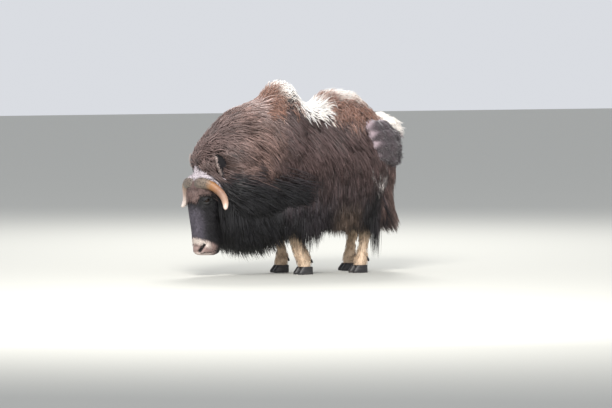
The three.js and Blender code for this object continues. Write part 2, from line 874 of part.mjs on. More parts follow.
const BACK = {
  from: -318,
  to: 468,
  rows: 6,
  length: 350,
  half: 60,
  thick: 19,
  lift: 0.88,
  angles: [
    [20, 46, 70],
    [32, 58, 84],
  ],
};
const CREST = {
  from: -300,
  to: 490,
  rows: 12,
  length: 205,
  half: 60,
  thick: 28,
  lift: 1.02,
  rise: 0.6,
  keel: 1.4,
  lie: straightBack,
  angles: [[0], [13]],
};
const SKIRT = { half: 56, thick: 19, lift: 0.74, slack: 1.04, widths: BLUNT };
const SKIRT_LOCKS = 11; // on each side
const skirtPlaces = [];
for (let k = 0; k < SKIRT_LOCKS; k++) {
  const x = lerp(-310, 540, k / (SKIRT_LOCKS - 1));
  for (const side of sideList) skirtPlaces.push([x, side * (k % 2 ? 92 : 112), k % 2 ? 238 : 224]);
}
for (const side of sideList) skirtPlaces.push([425, side * 104, 236]);
const RUMP = { half: 54, thick: 19, lift: 0.9, slack: 1.06, lie: rumpLie };
const rumpPlaces = sideList.flatMap((side) => [
  [545, side * 30, 600],
  [566, side * 58, 420],
  [562, side * 88, 268],
  [572, side * 130, 262],
  [520, side * 74, 330],
  [528, side * 104, 250],
]);

// Clumps of shed wool: along the trunk, round it, share of the coat, radius
const HIP_WOOL = [
  [412, 48, 0.66, 62],
  [474, 42, 0.7, 66],
  [528, 46, 0.72, 66],
  [446, 70, 0.68, 62],
  [506, 68, 0.74, 64],
  [546, 78, 0.58, 60],
];
const TAIL_WOOL = [
  [504, 14, 0.84, 66],
  [532, 20, 1.12, 66],
  [544, 22, 1.26, 60],
  [536, -20, 0.84, 60],
];
const MOUND_WOOL = [
  [-212, 9, 0.5, 66],
  [-150, -9, 0.54, 68],
  [-96, 8, 0.5, 60],
  [205, 10, 0.5, 66],
  [290, -10, 0.52, 70],
  [375, 10, 0.54, 66],
];
const farSide = ([x, degrees, ...rest]) => [x - 8, -degrees, ...rest];
const woolPlaces = [...HIP_WOOL, ...HIP_WOOL.slice(0, 4).map(farSide), ...TAIL_WOOL, ...MOUND_WOOL];
const woolClumps = woolPlaces.map(([x, degrees, share, radius]) => ({
  at: trunkPoint(x, THREE.MathUtils.degToRad(degrees), share),
  radii: new THREE.Vector3(vary(radius * 1.2), vary(radius), vary(radius * 0.82)),
  turn: new THREE.Euler(6 * draw(), 6 * draw(), 6 * draw()),
}));

const neckLocks = [
  ...lockRows(MANE),
  ...lockRows(POLL),
  ...lockRows(MANE_CREST),
  ...hangingLocks(BEARD, BEARD_PLACES),
];
const torsoLocks = [
  ...lockRows(BACK),
  ...lockRows(CREST),
  ...hangingLocks(SKIRT, skirtPlaces),
  ...hangingLocks(RUMP, rumpPlaces),
];

const group = new THREE.Group();
const COLOURS = {
  coat: new THREE.MeshStandardMaterial({ color: 0x3a2c24, roughness: 0.85 }),
  mane: new THREE.MeshStandardMaterial({ color: 0x6b5344, roughness: 0.85 }),
  face: new THREE.MeshStandardMaterial({ color: 0x2a2422, roughness: 0.8 }),
  leg: new THREE.MeshStandardMaterial({ color: 0xcdb696, roughness: 0.85 }),
  horn: new THREE.MeshStandardMaterial({ color: 0xb9946c, roughness: 0.5 }),
  hoof: new THREE.MeshStandardMaterial({ color: 0x2c2b2c, roughness: 0.55 }),
  eye: new THREE.MeshStandardMaterial({ color: 0x120c09, roughness: 0.12 }),
};

function place(name, solid, material) {
  const mesh = new THREE.Mesh(geometryOf(largest(solid)), material);
  mesh.name = name;
  group.add(mesh);
}

const legs = Object.entries(FEET).map(([name, foot]) => ({
  name,
  foot,
  solid: leg(foot, 0),
  clear: leg(foot, GAP),
}));
const headClear = headForms(GAP);
const headSolid = cutBy(headForms(0), [
  ...sideList.map((side) => eye(side, GAP)),
  ...sideList.map((side) => eyeSlit(side)),
  ...sideList.map(nostril),
  mouthLine(),
]);
const eyesClear = sideList.map((side) => eye(side, GAP));
const hornsClear = sideList.map((side) => horn(side, GAP));
const earsClear = sideList.map((side) => ear(side, GAP));
const legsClear = legs.map((one) => one.clear);

const neckForm = (grow) =>
  join([
    trunkForm(TRUNK_FRONT, NECK_END + grow, 8, 14, CORE, grow),
    ...neckLocks.map((one) => lockSolid(one, grow)),
  ]);
const neckSolid = cutBy(neckForm(0), [headClear, ...hornsClear, ...earsClear, ...eyesClear, ...legsClear]);
const tailSolid = tailForm(0);
const torsoSolid = cutBy(
  join([
    trunkForm(NECK_END, TRUNK_REAR, 12, 16, CORE),
    ...torsoLocks.map((one) => lockSolid(one, 0)),
    ...woolClumps.map((one) => clumpSolid(one, 0)),
  ]),
  [...legsClear, tailForm(GAP), neckForm(GAP)],
);

place("head", headSolid, COLOURS.face);
place("neck", neckSolid, COLOURS.mane);
place("torso", torsoSolid, COLOURS.coat);
place("tail", tailSolid, COLOURS.coat);
for (const [name, side] of Object.entries(SIDES)) {
  place(`eye_${name}`, eye(side, 0), COLOURS.eye);
  place(`horn_${name}`, horn(side, 0).subtract(headClear), COLOURS.horn);
  place(`ear_${name}`, ear(side, 0).subtract(headClear), COLOURS.face);
}
for (const { name, foot, solid } of legs) {
  place(`leg_${name}`, solid, COLOURS.leg);
  place(`hoof_${name}_inner`, claw(foot, foot.y < 0 ? 1 : -1), COLOURS.hoof);
  place(`hoof_${name}_outer`, claw(foot, foot.y < 0 ? -1 : 1), COLOURS.hoof);
}

// The origin is midway along and across her, on the floor.
const box = new THREE.Box3().setFromObject(group);
const centre = box.getCenter(new THREE.Vector3());
group.position.set(-centre.x, -centre.y, -box.min.z);
const muskox = new THREE.Group();
muskox.add(group);

export default muskox;
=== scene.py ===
# %% [markdown]
# # A muskox cow, half way through shedding her wool
#
# This notebook dresses a life-size model of a muskox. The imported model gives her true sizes, and each
# step below adds what a sculptor of animals would add: a skin, eyes, horns, hooves, and then the coat,
# lock by lock.
#
# A muskox wears two coats. Long guard hairs hang nearly to the ground, and under them is a soft dense
# wool that she sheds in early summer. The loosened wool lies in pale mounds over her withers and loins.

# %% The frame
import math

import bpy
import numpy as np
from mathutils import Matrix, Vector


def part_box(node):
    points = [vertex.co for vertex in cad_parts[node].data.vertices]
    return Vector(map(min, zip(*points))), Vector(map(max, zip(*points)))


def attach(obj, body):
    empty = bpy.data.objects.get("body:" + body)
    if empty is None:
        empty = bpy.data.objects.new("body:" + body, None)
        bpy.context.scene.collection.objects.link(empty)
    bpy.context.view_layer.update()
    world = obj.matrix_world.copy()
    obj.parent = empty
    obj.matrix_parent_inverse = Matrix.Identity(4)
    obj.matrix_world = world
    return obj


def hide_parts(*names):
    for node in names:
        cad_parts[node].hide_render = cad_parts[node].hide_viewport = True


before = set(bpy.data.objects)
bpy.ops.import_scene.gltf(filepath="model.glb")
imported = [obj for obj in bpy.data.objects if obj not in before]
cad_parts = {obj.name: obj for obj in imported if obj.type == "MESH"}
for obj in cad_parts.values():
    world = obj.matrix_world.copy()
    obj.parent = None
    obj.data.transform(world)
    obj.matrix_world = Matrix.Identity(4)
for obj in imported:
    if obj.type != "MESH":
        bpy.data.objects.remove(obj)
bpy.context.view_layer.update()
print("nodes in the frame:", len(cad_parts))

# %% [markdown]
# ## Working in the animal's own millimetres
#
# Anatomy is easier to read in millimetres, measured from a line under the withers. Her head hangs from an
# upright axis of its own and is turned a little to her left, so it gets a frame that turns with it. One
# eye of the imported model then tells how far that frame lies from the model's.

# %% Places in millimetres
UP = np.array([0.0, 0.0, 1.0])
HEAD_AXIS = np.array([-706.0, -30.0, 0.0])
HEAD_TURN = math.radians(12)
FORWARD = np.array([-math.cos(HEAD_TURN), -math.sin(HEAD_TURN), 0.0])
LEFTWARD = np.array([math.sin(HEAD_TURN), -math.cos(HEAD_TURN), 0.0])
EYE_PLACE = (62.0, 77.0, 500.0)
EYE_RADIUS = 21.0


def head_place(forward, left, z):
    forward, left, z = np.broadcast_arrays(*(np.asarray(v, float)[..., None] for v in (forward, left, z)))
    return HEAD_AXIS + forward * FORWARD + left * LEFTWARD + z * UP


def head_coordinates(points):
    away = points - HEAD_AXIS
    return away @ FORWARD, away @ LEFTWARD, points[..., 2]


low, high = (np.array(corner) * 1000 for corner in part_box("eye_left"))
SHIFT = (low + high) / 2 - head_place(*EYE_PLACE)


def to_frame(points):
    return (points + SHIFT) / 1000


print("from her own millimetres to the frame:", SHIFT.round(1))

# %% [markdown]
# ## The camera
#
# The photograph was taken with a long lens from her left, a little in front of her, with the camera only
# a little higher than her back. A lens of about 270 mm at 30 m keeps the legs as parallel as they are
# there.

# %% The camera
FRAME_PIXELS = (612, 408)
MM_PER_PIXEL = 6.6
GROUND_PIXEL = (300, 273)  # where the line under the withers meets the floor
DISTANCE = 30000.0
SENSOR_WIDTH = 36.0
azimuth, elevation = math.radians(-28), math.radians(2.5)


def add_object(name, data):
    thing = bpy.data.objects.new(name, data)
    bpy.context.scene.collection.objects.link(thing)
    return thing


back = np.array(
    [math.sin(azimuth) * math.cos(elevation), -math.cos(azimuth) * math.cos(elevation), math.sin(elevation)]
)
right = np.array([math.cos(azimuth), math.sin(azimuth), 0.0])
camera_up = np.cross(back, right)
centre = (
    right * (FRAME_PIXELS[0] / 2 - GROUND_PIXEL[0]) * MM_PER_PIXEL
    + camera_up * (GROUND_PIXEL[1] - FRAME_PIXELS[1] / 2) * MM_PER_PIXEL
)
camera = add_object("camera", bpy.data.cameras.new("camera"))
camera.data.sensor_width = SENSOR_WIDTH
camera.data.lens = SENSOR_WIDTH * DISTANCE / (FRAME_PIXELS[0] * MM_PER_PIXEL)
camera.data.clip_end = 200
camera.location = to_frame(centre + back * DISTANCE)
camera.rotation_euler = (math.pi / 2 - elevation, 0, azimuth)
bpy.context.scene.camera = camera
print("lens in mm:", round(camera.data.lens))

# %% [markdown]
# ## A few small helpers
#
# `smooth` fades from 0 to 1, `curve` draws a smooth line through a table of sizes, and `new_mesh` turns
# arrays of points and faces into a mesh at once, which is far quicker than adding faces one by one.

# %% Helpers for numbers
rng = np.random.default_rng(5)


def lerp(a, b, t):
    return a + (b - a) * t


def smooth(a, b, x):
    t = np.clip((x - a) / (b - a), 0, 1)
    return t * t * (3 - 2 * t)


def bell(x, width):
    return np.exp(-((x / width) ** 2))


def unit(v):
    return v / np.maximum(np.linalg.norm(v, axis=-1, keepdims=True), 1e-9)


def curve(rows):
    """A function that reads a smooth line through a table whose first column is the place."""
    rows = np.array(rows, float)
    at = rows[:, 0]
    before = np.maximum(np.arange(len(at)) - 1, 0)
    after = np.minimum(np.arange(len(at)) + 1, len(at) - 1)
    slope = (rows[after] - rows[before]) / (at[after] - at[before])[:, None]

    def value(x):
        x = np.clip(x, at[0], at[-1])
        i = np.clip(np.searchsorted(at, x, side="right") - 1, 0, len(at) - 2)
        span = (at[i + 1] - at[i])[..., None]
        t = (x - at[i])[..., None] / span
        start = (1 + 2 * t) * (1 - t) ** 2 * rows[i] + t * (1 - t) ** 2 * slope[i] * span
        end = t * t * (3 - 2 * t) * rows[i + 1] + t * t * (t - 1) * slope[i + 1] * span
        return (start + end)[..., 1:]

    return value


print("a fade from 0 to 10, read at 2:", smooth(0, 10, 2).round(3))


# %% Helpers for meshes
def new_mesh(name, points, *face_sets):
    """A smooth mesh from points in her millimetres and arrays of faces."""
    mesh = bpy.data.meshes.new(name)
    mesh.vertices.add(len(points))
    mesh.vertices.foreach_set("co", to_frame(points).astype(np.float32).ravel())
    corners = np.concatenate([faces.ravel() for faces in face_sets]).astype(np.int32)
    counts = np.concatenate([np.full(len(faces), faces.shape[1]) for faces in face_sets])
    starts = np.concatenate([[0], np.cumsum(counts)[:-1]]).astype(np.int32)
    mesh.loops.add(len(corners))
    mesh.loops.foreach_set("vertex_index", corners)
    mesh.polygons.add(len(counts))
    mesh.polygons.foreach_set("loop_start", starts)
    mesh.update(calc_edges=True)
    mesh.shade_smooth()
    return mesh


def loft(rings):
    """Points and faces of a closed form through rings of equal count, with fans at both ends."""
    count, sides = rings.shape[:2]
    k, i = np.meshgrid(np.arange(count - 1), np.arange(sides), indexing="ij")
    a, b = k * sides + i, k * sides + (i + 1) % sides
    quads = np.stack([a, b, b + sides, a + sides], -1).reshape(-1, 4)
    ends = [rings[0].mean(0), rings[-1].mean(0)]
    points = np.concatenate([rings.reshape(-1, 3), ends])
    ring = np.arange(sides)
    first = np.stack([np.full(sides, count * sides), (ring + 1) % sides, ring], -1)
    top = (count - 1) * sides
    last = np.stack([np.full(sides, count * sides + 1), top + ring, top + (ring + 1) % sides], -1)
    return points, quads, np.concatenate([first, last])


def join_forms(forms):
    points, quads, triangles, start = [], [], [], 0
    for form_points, form_quads, form_triangles in forms:
        points.append(form_points)
        quads.append(form_quads + start)
        triangles.append(form_triangles + start)
        start += len(form_points)
    return np.concatenate(points), np.concatenate(quads), np.concatenate(triangles)


print("faces of a loft through 3 rings of 8:", [len(faces) for faces in loft(np.zeros((3, 8, 3)))[1:]])


# %% Reading and writing a mesh
def triangle_count(mesh):
    return sum(len(face.vertices) - 2 for face in mesh.polygons)


def read(items, key, width, kind=np.float32):
    """One value or vector of every vertex, corner or face, as rows of an array."""
    values = np.zeros(len(items) * width, kind)
    items.foreach_get(key, values)
    return values.reshape(-1, width)


def set_attribute(mesh, name, values):
    """A number or a colour at every point, for the material to read."""
    values = np.asarray(values, np.float32)
    if values.ndim == 1:
        mesh.attributes.new(name, "FLOAT", "POINT").data.foreach_set("value", values)
        return
    colours = np.ones((len(values), 4), np.float32)
    colours[:, :3] = values
    mesh.attributes.new(name, "FLOAT_COLOR", "POINT").data.foreach_set("color", colours.ravel())


print("meshes of the packed model:", len(bpy.data.meshes))


# %% [markdown]
# ## Colours
#
# Colours are picked as sRGB hex values and turned to the linear values that Blender works in. The long
# hair is never one brown: each lock and each hair differs a little from its neighbours, and the tips are
# bleached.

# %% Colours
def hex_colour(text):
    parts = np.array([int(text[i : i + 2], 16) / 255 for i in (1, 3, 5)])
    return np.where(parts <= 0.04045, parts / 12.92, ((parts + 0.055) / 1.055) ** 2.4)


def mix(a, b, share):
    return a + (b - a) * np.asarray(share)[..., None]


BLACK_HAIR = hex_colour("#100f13")
THROAT_HAIR = hex_colour("#141317")
FLANK_HAIR = hex_colour("#221c21")
BACK_HAIR = hex_colour("#4a3a39")
STRAW_HAIR = hex_colour("#74604f")
MANE_HAIR = hex_colour("#6f5953")
MANE_TOP = hex_colour("#a08b86")
NAPE_HAIR = hex_colour("#5e4d4a")
ORANGE_WOOL = hex_colour("#805c4d")
CREAM_WOOL = hex_colour("#fbf3ec")
FELT_WOOL = hex_colour("#40363b")
# A pale grey: the beard's fringe, painted light on the hips and painted shade under the rump tuft.
PALE_GREY_AND_PAINTED_LIGHT_AND_SHADE = hex_colour("#9d8c93")
RUMP_HAIR = hex_colour("#6d5853")
LEG_HAIR = hex_colour("#ecd2b6")
LEG_SHADE = hex_colour("#bda48c")
FACE_HAIR = hex_colour("#1b191e")
BRIDGE_HAIR = hex_colour("#56515c")
MUZZLE_HAIR = hex_colour("#ddd0c8")
NOSE_LEATHER = hex_colour("#8f7974")
BROW_HAIR = hex_colour("#5f4c48")
POLL_HAIR = hex_colour("#b9b0b6")
EYELID = hex_colour("#0d0b0d")
NOSTRIL_SHADE = hex_colour("#0a0809")
MOUTH_CREASE_SHADE = hex_colour("#2a1a1a")
print("cream wool in linear light:", CREAM_WOOL.round(3))

# %% [markdown]
# ## Her body as one surface
#
# The body is a row of cross sections from nape to rump. Each place on it has three numbers: how far
# along, the angle round from the spine, and the share of the coat's depth, from 0 on the flesh to 1 at
# the hair's tips. The skin, the hair roots and the hair tips all come from this one surface, so they
# always fit each other.

# %% The body's surface
TRUNK = [
    [-752, -29, 716, 672, 26],
    [-738, -28, 748, 640, 54],
    [-712, -26, 784, 580, 80],
    [-675, -23, 820, 505, 104],
    [-630, -18, 860, 436, 132],
    [-560, -11, 918, 385, 158],
    [-440, -4, 990, 352, 186],
    [-290, 0, 1046, 350, 214],
    [-160, 0, 1062, 357, 234],
    [0, 0, 1036, 375, 248],
    [160, 0, 1012, 388, 252],
    [330, 0, 1004, 405, 246],
    [440, 0, 976, 450, 222],
    [512, 0, 924, 520, 180],
    [560, 0, 852, 600, 122],
    [582, 0, 790, 668, 56],
]  # along her, middle, top, bottom, half width
TRUNK_FRONT, TRUNK_REAR = -752.0, 582.0
trunk_table = curve(TRUNK)
# Depth of the coat in millimetres over the back, the neck and the nape.
COAT_ABOVE, COAT_BELOW, COAT_BESIDE = (92, 118, 62), (60, 70, 0), (78, 92, 34)
SQUARENESS = 2.3  # 2 would be an oval section, and more is squarer
WITHERS_MOUND = (-330, -150, -130, -35, 120)  # begins, full, falls, ends, height
LOINS_MOUND = (70, 215, 350, 520, 98)
print("half width over the ribs, mm:", trunk_table(np.array([0.0]))[0, 3])


# %% Places on the body
def mound(x, begins, full, falls, ends, height):
    return height * smooth(begins, full, x) * (1 - smooth(falls, ends, x))


def signed_power(value, power):
    return np.sign(value) * np.abs(value) ** power


def coat_depth(depths, neck, nape):
    return lerp(depths[0], lerp(depths[1], depths[2], nape), neck)


def trunk_point(x, angle, share):
    x, angle, share = np.broadcast_arrays(np.asarray(x, float), angle, share)
    y, top, bottom, half = np.moveaxis(trunk_table(x), -1, 0)
    neck = 1 - smooth(-520, -240, x)
    nape = 1 - smooth(TRUNK_FRONT, -600, x)
    thin = lerp(0.3, 1, smooth(TRUNK_FRONT, TRUNK_FRONT + 60, x) * smooth(TRUNK_REAR, TRUNK_REAR - 70, x))
    deep = share * thin
    middle = lerp(bottom, top, 0.47)
    up = top - middle + deep * coat_depth(COAT_ABOVE, neck, nape)
    down = middle - bottom + deep * coat_depth(COAT_BELOW, neck, nape)
    wide = half + deep * coat_depth(COAT_BESIDE, neck, nape)
    upright = signed_power(np.cos(angle), 2 / SQUARENESS)
    across = signed_power(np.sin(angle), 2 / SQUARENESS)
    lift = share * (mound(x, *WITHERS_MOUND) + mound(x, *LOINS_MOUND)) * np.maximum(0, upright) ** 3
    slide = smooth(380, TRUNK_REAR, x) - 0.7 * (1 - smooth(TRUNK_FRONT, -600, x))
    height = middle + np.where(upright > 0, up, down) * upright + lift
    return np.stack([x + slide * share * 78, y - wide * across, height], -1)


def turns(sides):
    return 2 * np.pi * np.arange(sides) / sides


SKIN_SHARE = 0.38
trunk_places = np.linspace(TRUNK_FRONT, TRUNK_REAR, 60)[:, None]
body_rings = trunk_point(trunk_places, turns(64)[None, :], SKIN_SHARE)
print("skin at the withers, mm above the floor:", body_rings[..., 2].max().round())

# %% [markdown]
# ## Her head as a surface
#
# A muskox's head is long and deep, nearly square in section, and carried low. It could be modelled from a
# cube with a subdivision surface, but a loft through a few measured sections keeps every width as it was
# read. Balls add the muzzle, the chin, the bone round each eye and the eyelids.

# %% The head's surface
HEAD = [
    [139, -6, 44, 34],
    [146, -4, 66, 50],
    [162, -2, 82, 62],
    [190, 0, 90, 69],
    [225, 4, 92, 66],
    [270, 8, 94, 60],
    [330, 13, 98, 61],
    [400, 17, 104, 70],
    [460, 15, 109, 84],
    [520, 10, 111, 96],
    [575, 6, 110, 104],
    [625, 4, 98, 98],
    [655, 4, 74, 76],
    [670, 4, 44, 46],
]  # height, middle forward of the axis, half depth, half width
HEAD_ENDS = (139.0, 670.0)
head_table = curve(HEAD)
print("width over the eyes, mm:", 2 * head_table(np.array([520.0]))[0, 2])


# %% Places on the head
def head_point(z, angle, out):
    z, angle, out = np.broadcast_arrays(np.asarray(z, float), angle, out)
    middle, deep, half = np.moveaxis(head_table(z), -1, 0)
    forward = middle + (deep + out) * signed_power(np.cos(angle), 0.8)
    return head_place(forward, (half + out) * signed_power(np.sin(angle), 0.8), z)


def ball(place, radii, sides=24):
    """Rings of a ball in the head's frame, left open a little at its poles for the loft's fans."""
    bands = np.linspace(0.08, np.pi - 0.08, sides // 2)[:, None]
    turn = turns(sides)[None, :]
    f, l, z = place
    long, wide, high = radii
    return head_place(
        f + long * np.sin(bands) * np.cos(turn),
        l + wide * np.sin(bands) * np.sin(turn),
        z + high * np.cos(bands) + 0 * turn,
    )


head_levels = lerp(*HEAD_ENDS, (1 - np.cos(np.linspace(0, np.pi, 70))) / 2)
head_forms = [head_point(head_levels[:, None], turns(64)[None, :], 0)]
head_forms.append(ball((40, 0, 182), (58, 62, 44)))  # muzzle
head_forms.append(ball((-56, 0, 172), (32, 44, 32)))  # chin
for side in (1, -1):
    head_forms.append(ball((52, side * 67, 512), (40, 24, 38)))  # bone round the eye
    head_forms.append(ball((EYE_PLACE[0], side * EYE_PLACE[1], EYE_PLACE[2]), (27, 27, 27)))  # lids
print("forms of the head:", len(head_forms))

# %% [markdown]
# ## Her legs as surfaces
#
# The legs are short and thick, with a knee low on the forelegs and a hock behind on the hind ones. Each
# is a loft through seven sections, so that the bend of the joint is in the table. Their hair is short,
# and the skin lies under it by the depth of that fur.

# %% The legs' surfaces
FEET = {
    "front_left": (-46, -135, 6),
    "front_right": (-80, 135, -6),
    "rear_left": (368, -128, 5),
    "rear_right": (428, 128, -5),
}  # where the foot stands, and how far it toes out, in degrees
LEGS = {
    "front_left": [
        [50, -40, -135, 46, 44],
        [85, -42, -135, 52, 46],
        [125, -56, -134, 56, 44],
        [190, -84, -131, 50, 40],
        [255, -108, -128, 50, 42],
        [330, -122, -126, 56, 46],
        [470, -132, -124, 70, 56],
    ],
    "front_right": [
        [50, -70, 135, 44, 43],
        [85, -66, 135, 45, 44],
        [125, -64, 134, 39, 37],
        [190, -78, 131, 36, 33],
        [255, -96, 128, 44, 40],
        [330, -112, 126, 56, 46],
        [470, -122, 124, 70, 56],
    ],
    "rear_left": [
        [50, 382, -128, 46, 42],
        [85, 390, -128, 47, 43],
        [125, 396, -127, 39, 36],
        [190, 406, -125, 34, 31],
        [260, 424, -124, 44, 36],
        [330, 430, -124, 58, 44],
        [470, 410, -124, 82, 58],
    ],
    "rear_right": [
        [50, 438, 128, 46, 42],
        [85, 442, 128, 46, 43],
        [125, 444, 127, 38, 36],
        [190, 454, 125, 34, 31],
        [260, 464, 124, 44, 36],
        [330, 462, 124, 58, 44],
        [470, 436, 124, 82, 58],
    ],
}  # height, place along and across her, half depth, half width
LEG_FUR = 6.0  # the short coat on the legs
leg_tables = {name: curve(rows) for name, rows in LEGS.items()}
print("the lowest section of a leg stands at, mm:", LEGS["front_left"][0][0])


# %% Places on the legs
def leg_point(name, z, angle, out):
    z, angle = np.broadcast_arrays(np.asarray(z, float), angle)
    x, y, deep, half = np.moveaxis(leg_tables[name](z), -1, 0)
    return np.stack([x + (deep + out) * np.cos(angle), y + (half + out) * np.sin(angle), z], -1)


leg_levels = np.linspace(48, 465, 40)[:, None]
leg_rings = {name: leg_point(name, leg_levels, turns(28)[None, :], -LEG_FUR) for name in LEGS}
print("sections of each leg:", len(leg_levels))

# %% [markdown]
# ## The skin
#
# Overlapping lofts show hard creases where they meet. A voxel remesh melts them into one surface and a
# little smoothing softens it, as skin softens what lies under it. The head gets the finest voxels,
# because the eyelids, nostrils and lips are sculpted into it afterwards. The body's are coarse, as hair
# will hide it.

# %% Melting forms together
def melted(forms, voxel, passes):
    """One remeshed surface of several lofts: points in her millimetres, their normals and the faces."""
    mesh = new_mesh("melting", *join_forms([loft(rings) for rings in forms]))
    thing = add_object("melting", mesh)
    remesh = thing.modifiers.new("remesh", "REMESH")
    remesh.mode = "VOXEL"
    remesh.voxel_size = voxel / 1000
    soften = thing.modifiers.new("soften", "SMOOTH")
    soften.factor = 0.5
    soften.iterations = passes
    bpy.context.view_layer.update()
    done = bpy.data.meshes.new_from_object(thing.evaluated_get(bpy.context.evaluated_depsgraph_get()))
    points = read(done.vertices, "co", 3) * 1000.0 - SHIFT
    normals = read(done.vertices, "normal", 3).astype(float)
    quads = read(done.loops, "vertex_index", 1, np.int32).reshape(-1, 4)
    bpy.data.objects.remove(thing)
    bpy.data.meshes.remove(mesh)
    bpy.data.meshes.remove(done)
    return points, normals, quads


head_skin, head_normals, head_faces = melted(head_forms, 3.2, 4)
body_skin, _, body_faces = melted([body_rings], 12, 3)
leg_skins = {name: melted([rings], 5, 3) for name, rings in leg_rings.items()}
print("head skin points:", len(head_skin), " body skin points:", len(body_skin))


# %% [markdown]
# ## Eyelids, nostrils and mouth
#
# These are pressed into the head's skin, as a thumb presses clay. They could be sculpted by hand with
# brushes, but a groove along a short line gives the same shape each time that the notebook runs. The rim
# beside it is raised a little. The eye's opening is an almond that slants down to its front corner.

# %% Sculpting the face
def distance_to_line(points, line):
    nearest = np.full(len(points), 1e9)
    for a, b in zip(line[:-1], line[1:]):
        t = np.clip(((points - a) @ (b - a)) / ((b - a) @ (b - a)), 0, 1)
        nearest = np.minimum(nearest, np.linalg.norm(points - a - t[:, None] * (b - a), axis=1))
    return nearest


NOSTRIL = [(60, 58, 214), (70, 53, 200), (79, 45, 186), (85, 38, 172), (87, 31, 163)]
MOUTH = [(232, 122), (205, 113), (178, 104), (164, 96), (158, 80), (156, 50), (156, 25), (156, 0)]
EYE_CORNERS = [(88, 96, 488), (36, 98, 513)]


def nostril_line(side):
    return np.array([head_place(f, side * l, z) for f, l, z in NOSTRIL])


def mouth_line(side):
    return np.array([head_point(z, math.radians(side * turn), 0) for z, turn in MOUTH])


def eye_centre(side):
    return head_place(EYE_PLACE[0], side * EYE_PLACE[1], EYE_PLACE[2])


def almond(points, side):
    """How far a place lies across the eye's opening: below 1 inside it, with its outward distance."""
    front, rear = (head_place(f, side * l, z) for f, l, z in EYE_CORNERS)
    slant = unit(rear - front)
    out = unit(side * LEFTWARD + 0.25 * FORWARD)
    high = unit(np.cross(slant, out) * side)
    away = points - (front + rear) / 2
    along = (away @ slant) / 27
    across = (away @ high) / np.where(away @ high > 0, 13, 10)
    return np.hypot(np.abs(along) ** 1.3, across), away @ out


print("length of half her mouth, mm:", np.linalg.norm(np.diff(mouth_line(1), axis=0), axis=1).sum().round())

# %% Pressing them into the skin
nostril_near = np.full(len(head_skin), 1e9)
mouth_near = np.full(len(head_skin), 1e9)
lid_near = np.full(len(head_skin), 9.0)
moved = head_skin.copy()
for side in (1, -1):
    near = distance_to_line(head_skin, nostril_line(side))
    wide = lerp(10, 15, smooth(165, 200, head_skin[:, 2]))
    moved += head_normals * (3 * bell(near - 21, 6) - 24 * bell(near, wide))[:, None]
    nostril_near = np.minimum(nostril_near, near)
    near = distance_to_line(head_skin, mouth_line(side))
    moved += head_normals * (1.8 * bell(near - 12, 6) - 7 * bell(near, 4.5))[:, None]
    mouth_near = np.minimum(mouth_near, near)
    opening, outward = almond(head_skin, side)
    opening = np.where(outward > -20, opening, 9.0)
    lid = 3.0 * bell(opening - 1.3, 0.25) - 15 * smooth(1.12, 0.86, opening)
    moved += head_normals * np.where(opening < 3, lid, 0)[:, None]
    lid_near = np.minimum(lid_near, opening)
head_skin = moved
print("points in the eyes' openings:", int((lid_near < 1).sum()))

# %% [markdown]
# ## Ears
#
# Her ears are short and stand out of the fur beside the horns. Each is a folded leaf: convex behind,
# hollow in front, and the hollow faces sideways. A flat leaf with a solidify modifier would have an even,
# sharp edge, so the loft's rings are bent into a cup instead, which keeps the rim round and thin.

# %% The ears' shape
EAR = [
    [0, -62, 86, 626, 22, 18],
    [1, -50, 112, 668, 34, 24],
    [2, -22, 136, 712, 42, 24],
    [3, 14, 150, 756, 36, 18],
    [4, 44, 156, 792, 14, 9],
]  # step, forward, left, height, half width, half thickness
EAR_RINGS, EAR_SIDES = 22, 28
ear_table = curve(EAR)
EAR_LEAN = {1: 0.0, -1: -60.0}


def ear_rings(side):
    """Rings from the ear's root to its tip, round below and cupped above."""
    at = np.linspace(0, 4, EAR_RINGS)
    f, l, z, wide, thick = np.moveaxis(ear_table(at), -1, 0)
    line = head_place(f + EAR_LEAN[side] * (at / 4) ** 1.5, side * l, z)
    tangent = unit(np.gradient(line, axis=0))
    across = unit(np.cross(tangent, side * LEFTWARD))
    out = np.cross(across, tangent)
    turn = turns(EAR_SIDES)
    hollow = smooth(0.3, 1.2, at)[:, None]
    outer = np.maximum(np.cos(turn), 0) ** 1.2
    cup = np.where(np.cos(turn) > 0, 0.22 - 0.95 * outer, 0.22 + 1.1 * np.cos(turn))[None, :]
    depth = thick[:, None] * lerp(np.cos(turn)[None, :], cup, hollow)
    span = wide[:, None] * np.sin(turn)
    return line[:, None] + across[:, None] * span[..., None] + out[:, None] * depth[..., None]


print("height of an ear, mm:", EAR[-1][3] - EAR[0][3])


# %% Room for the ears
def lay_under_ears(points, room):
    """Seen from the side, what crosses an ear is laid under it."""
    for side in (1, -1):
        at = np.linspace(0.8, 4, 30)
        f, l, z, wide, _ = np.moveaxis(ear_table(at), -1, 0)
        f = f + EAR_LEAN[side] * (at / 4) ** 1.5
        forward, out, height = head_coordinates(points)
        away = np.hypot(forward[..., None] - f, height[..., None] - z)
        nearest = away.argmin(-1)
        weight = smooth(wide[nearest] + 22, wide[nearest] - 4, away.min(-1))
        above = np.maximum(0, side * out - (l[nearest] - room))
        points = points - side * LEFTWARD * (weight * above)[..., None]
    return points


ears = {side: loft(ear_rings(side)) for side in (1, -1)}
body_skin = lay_under_ears(body_skin, 34)
print("ear points:", len(ears[1][0]))
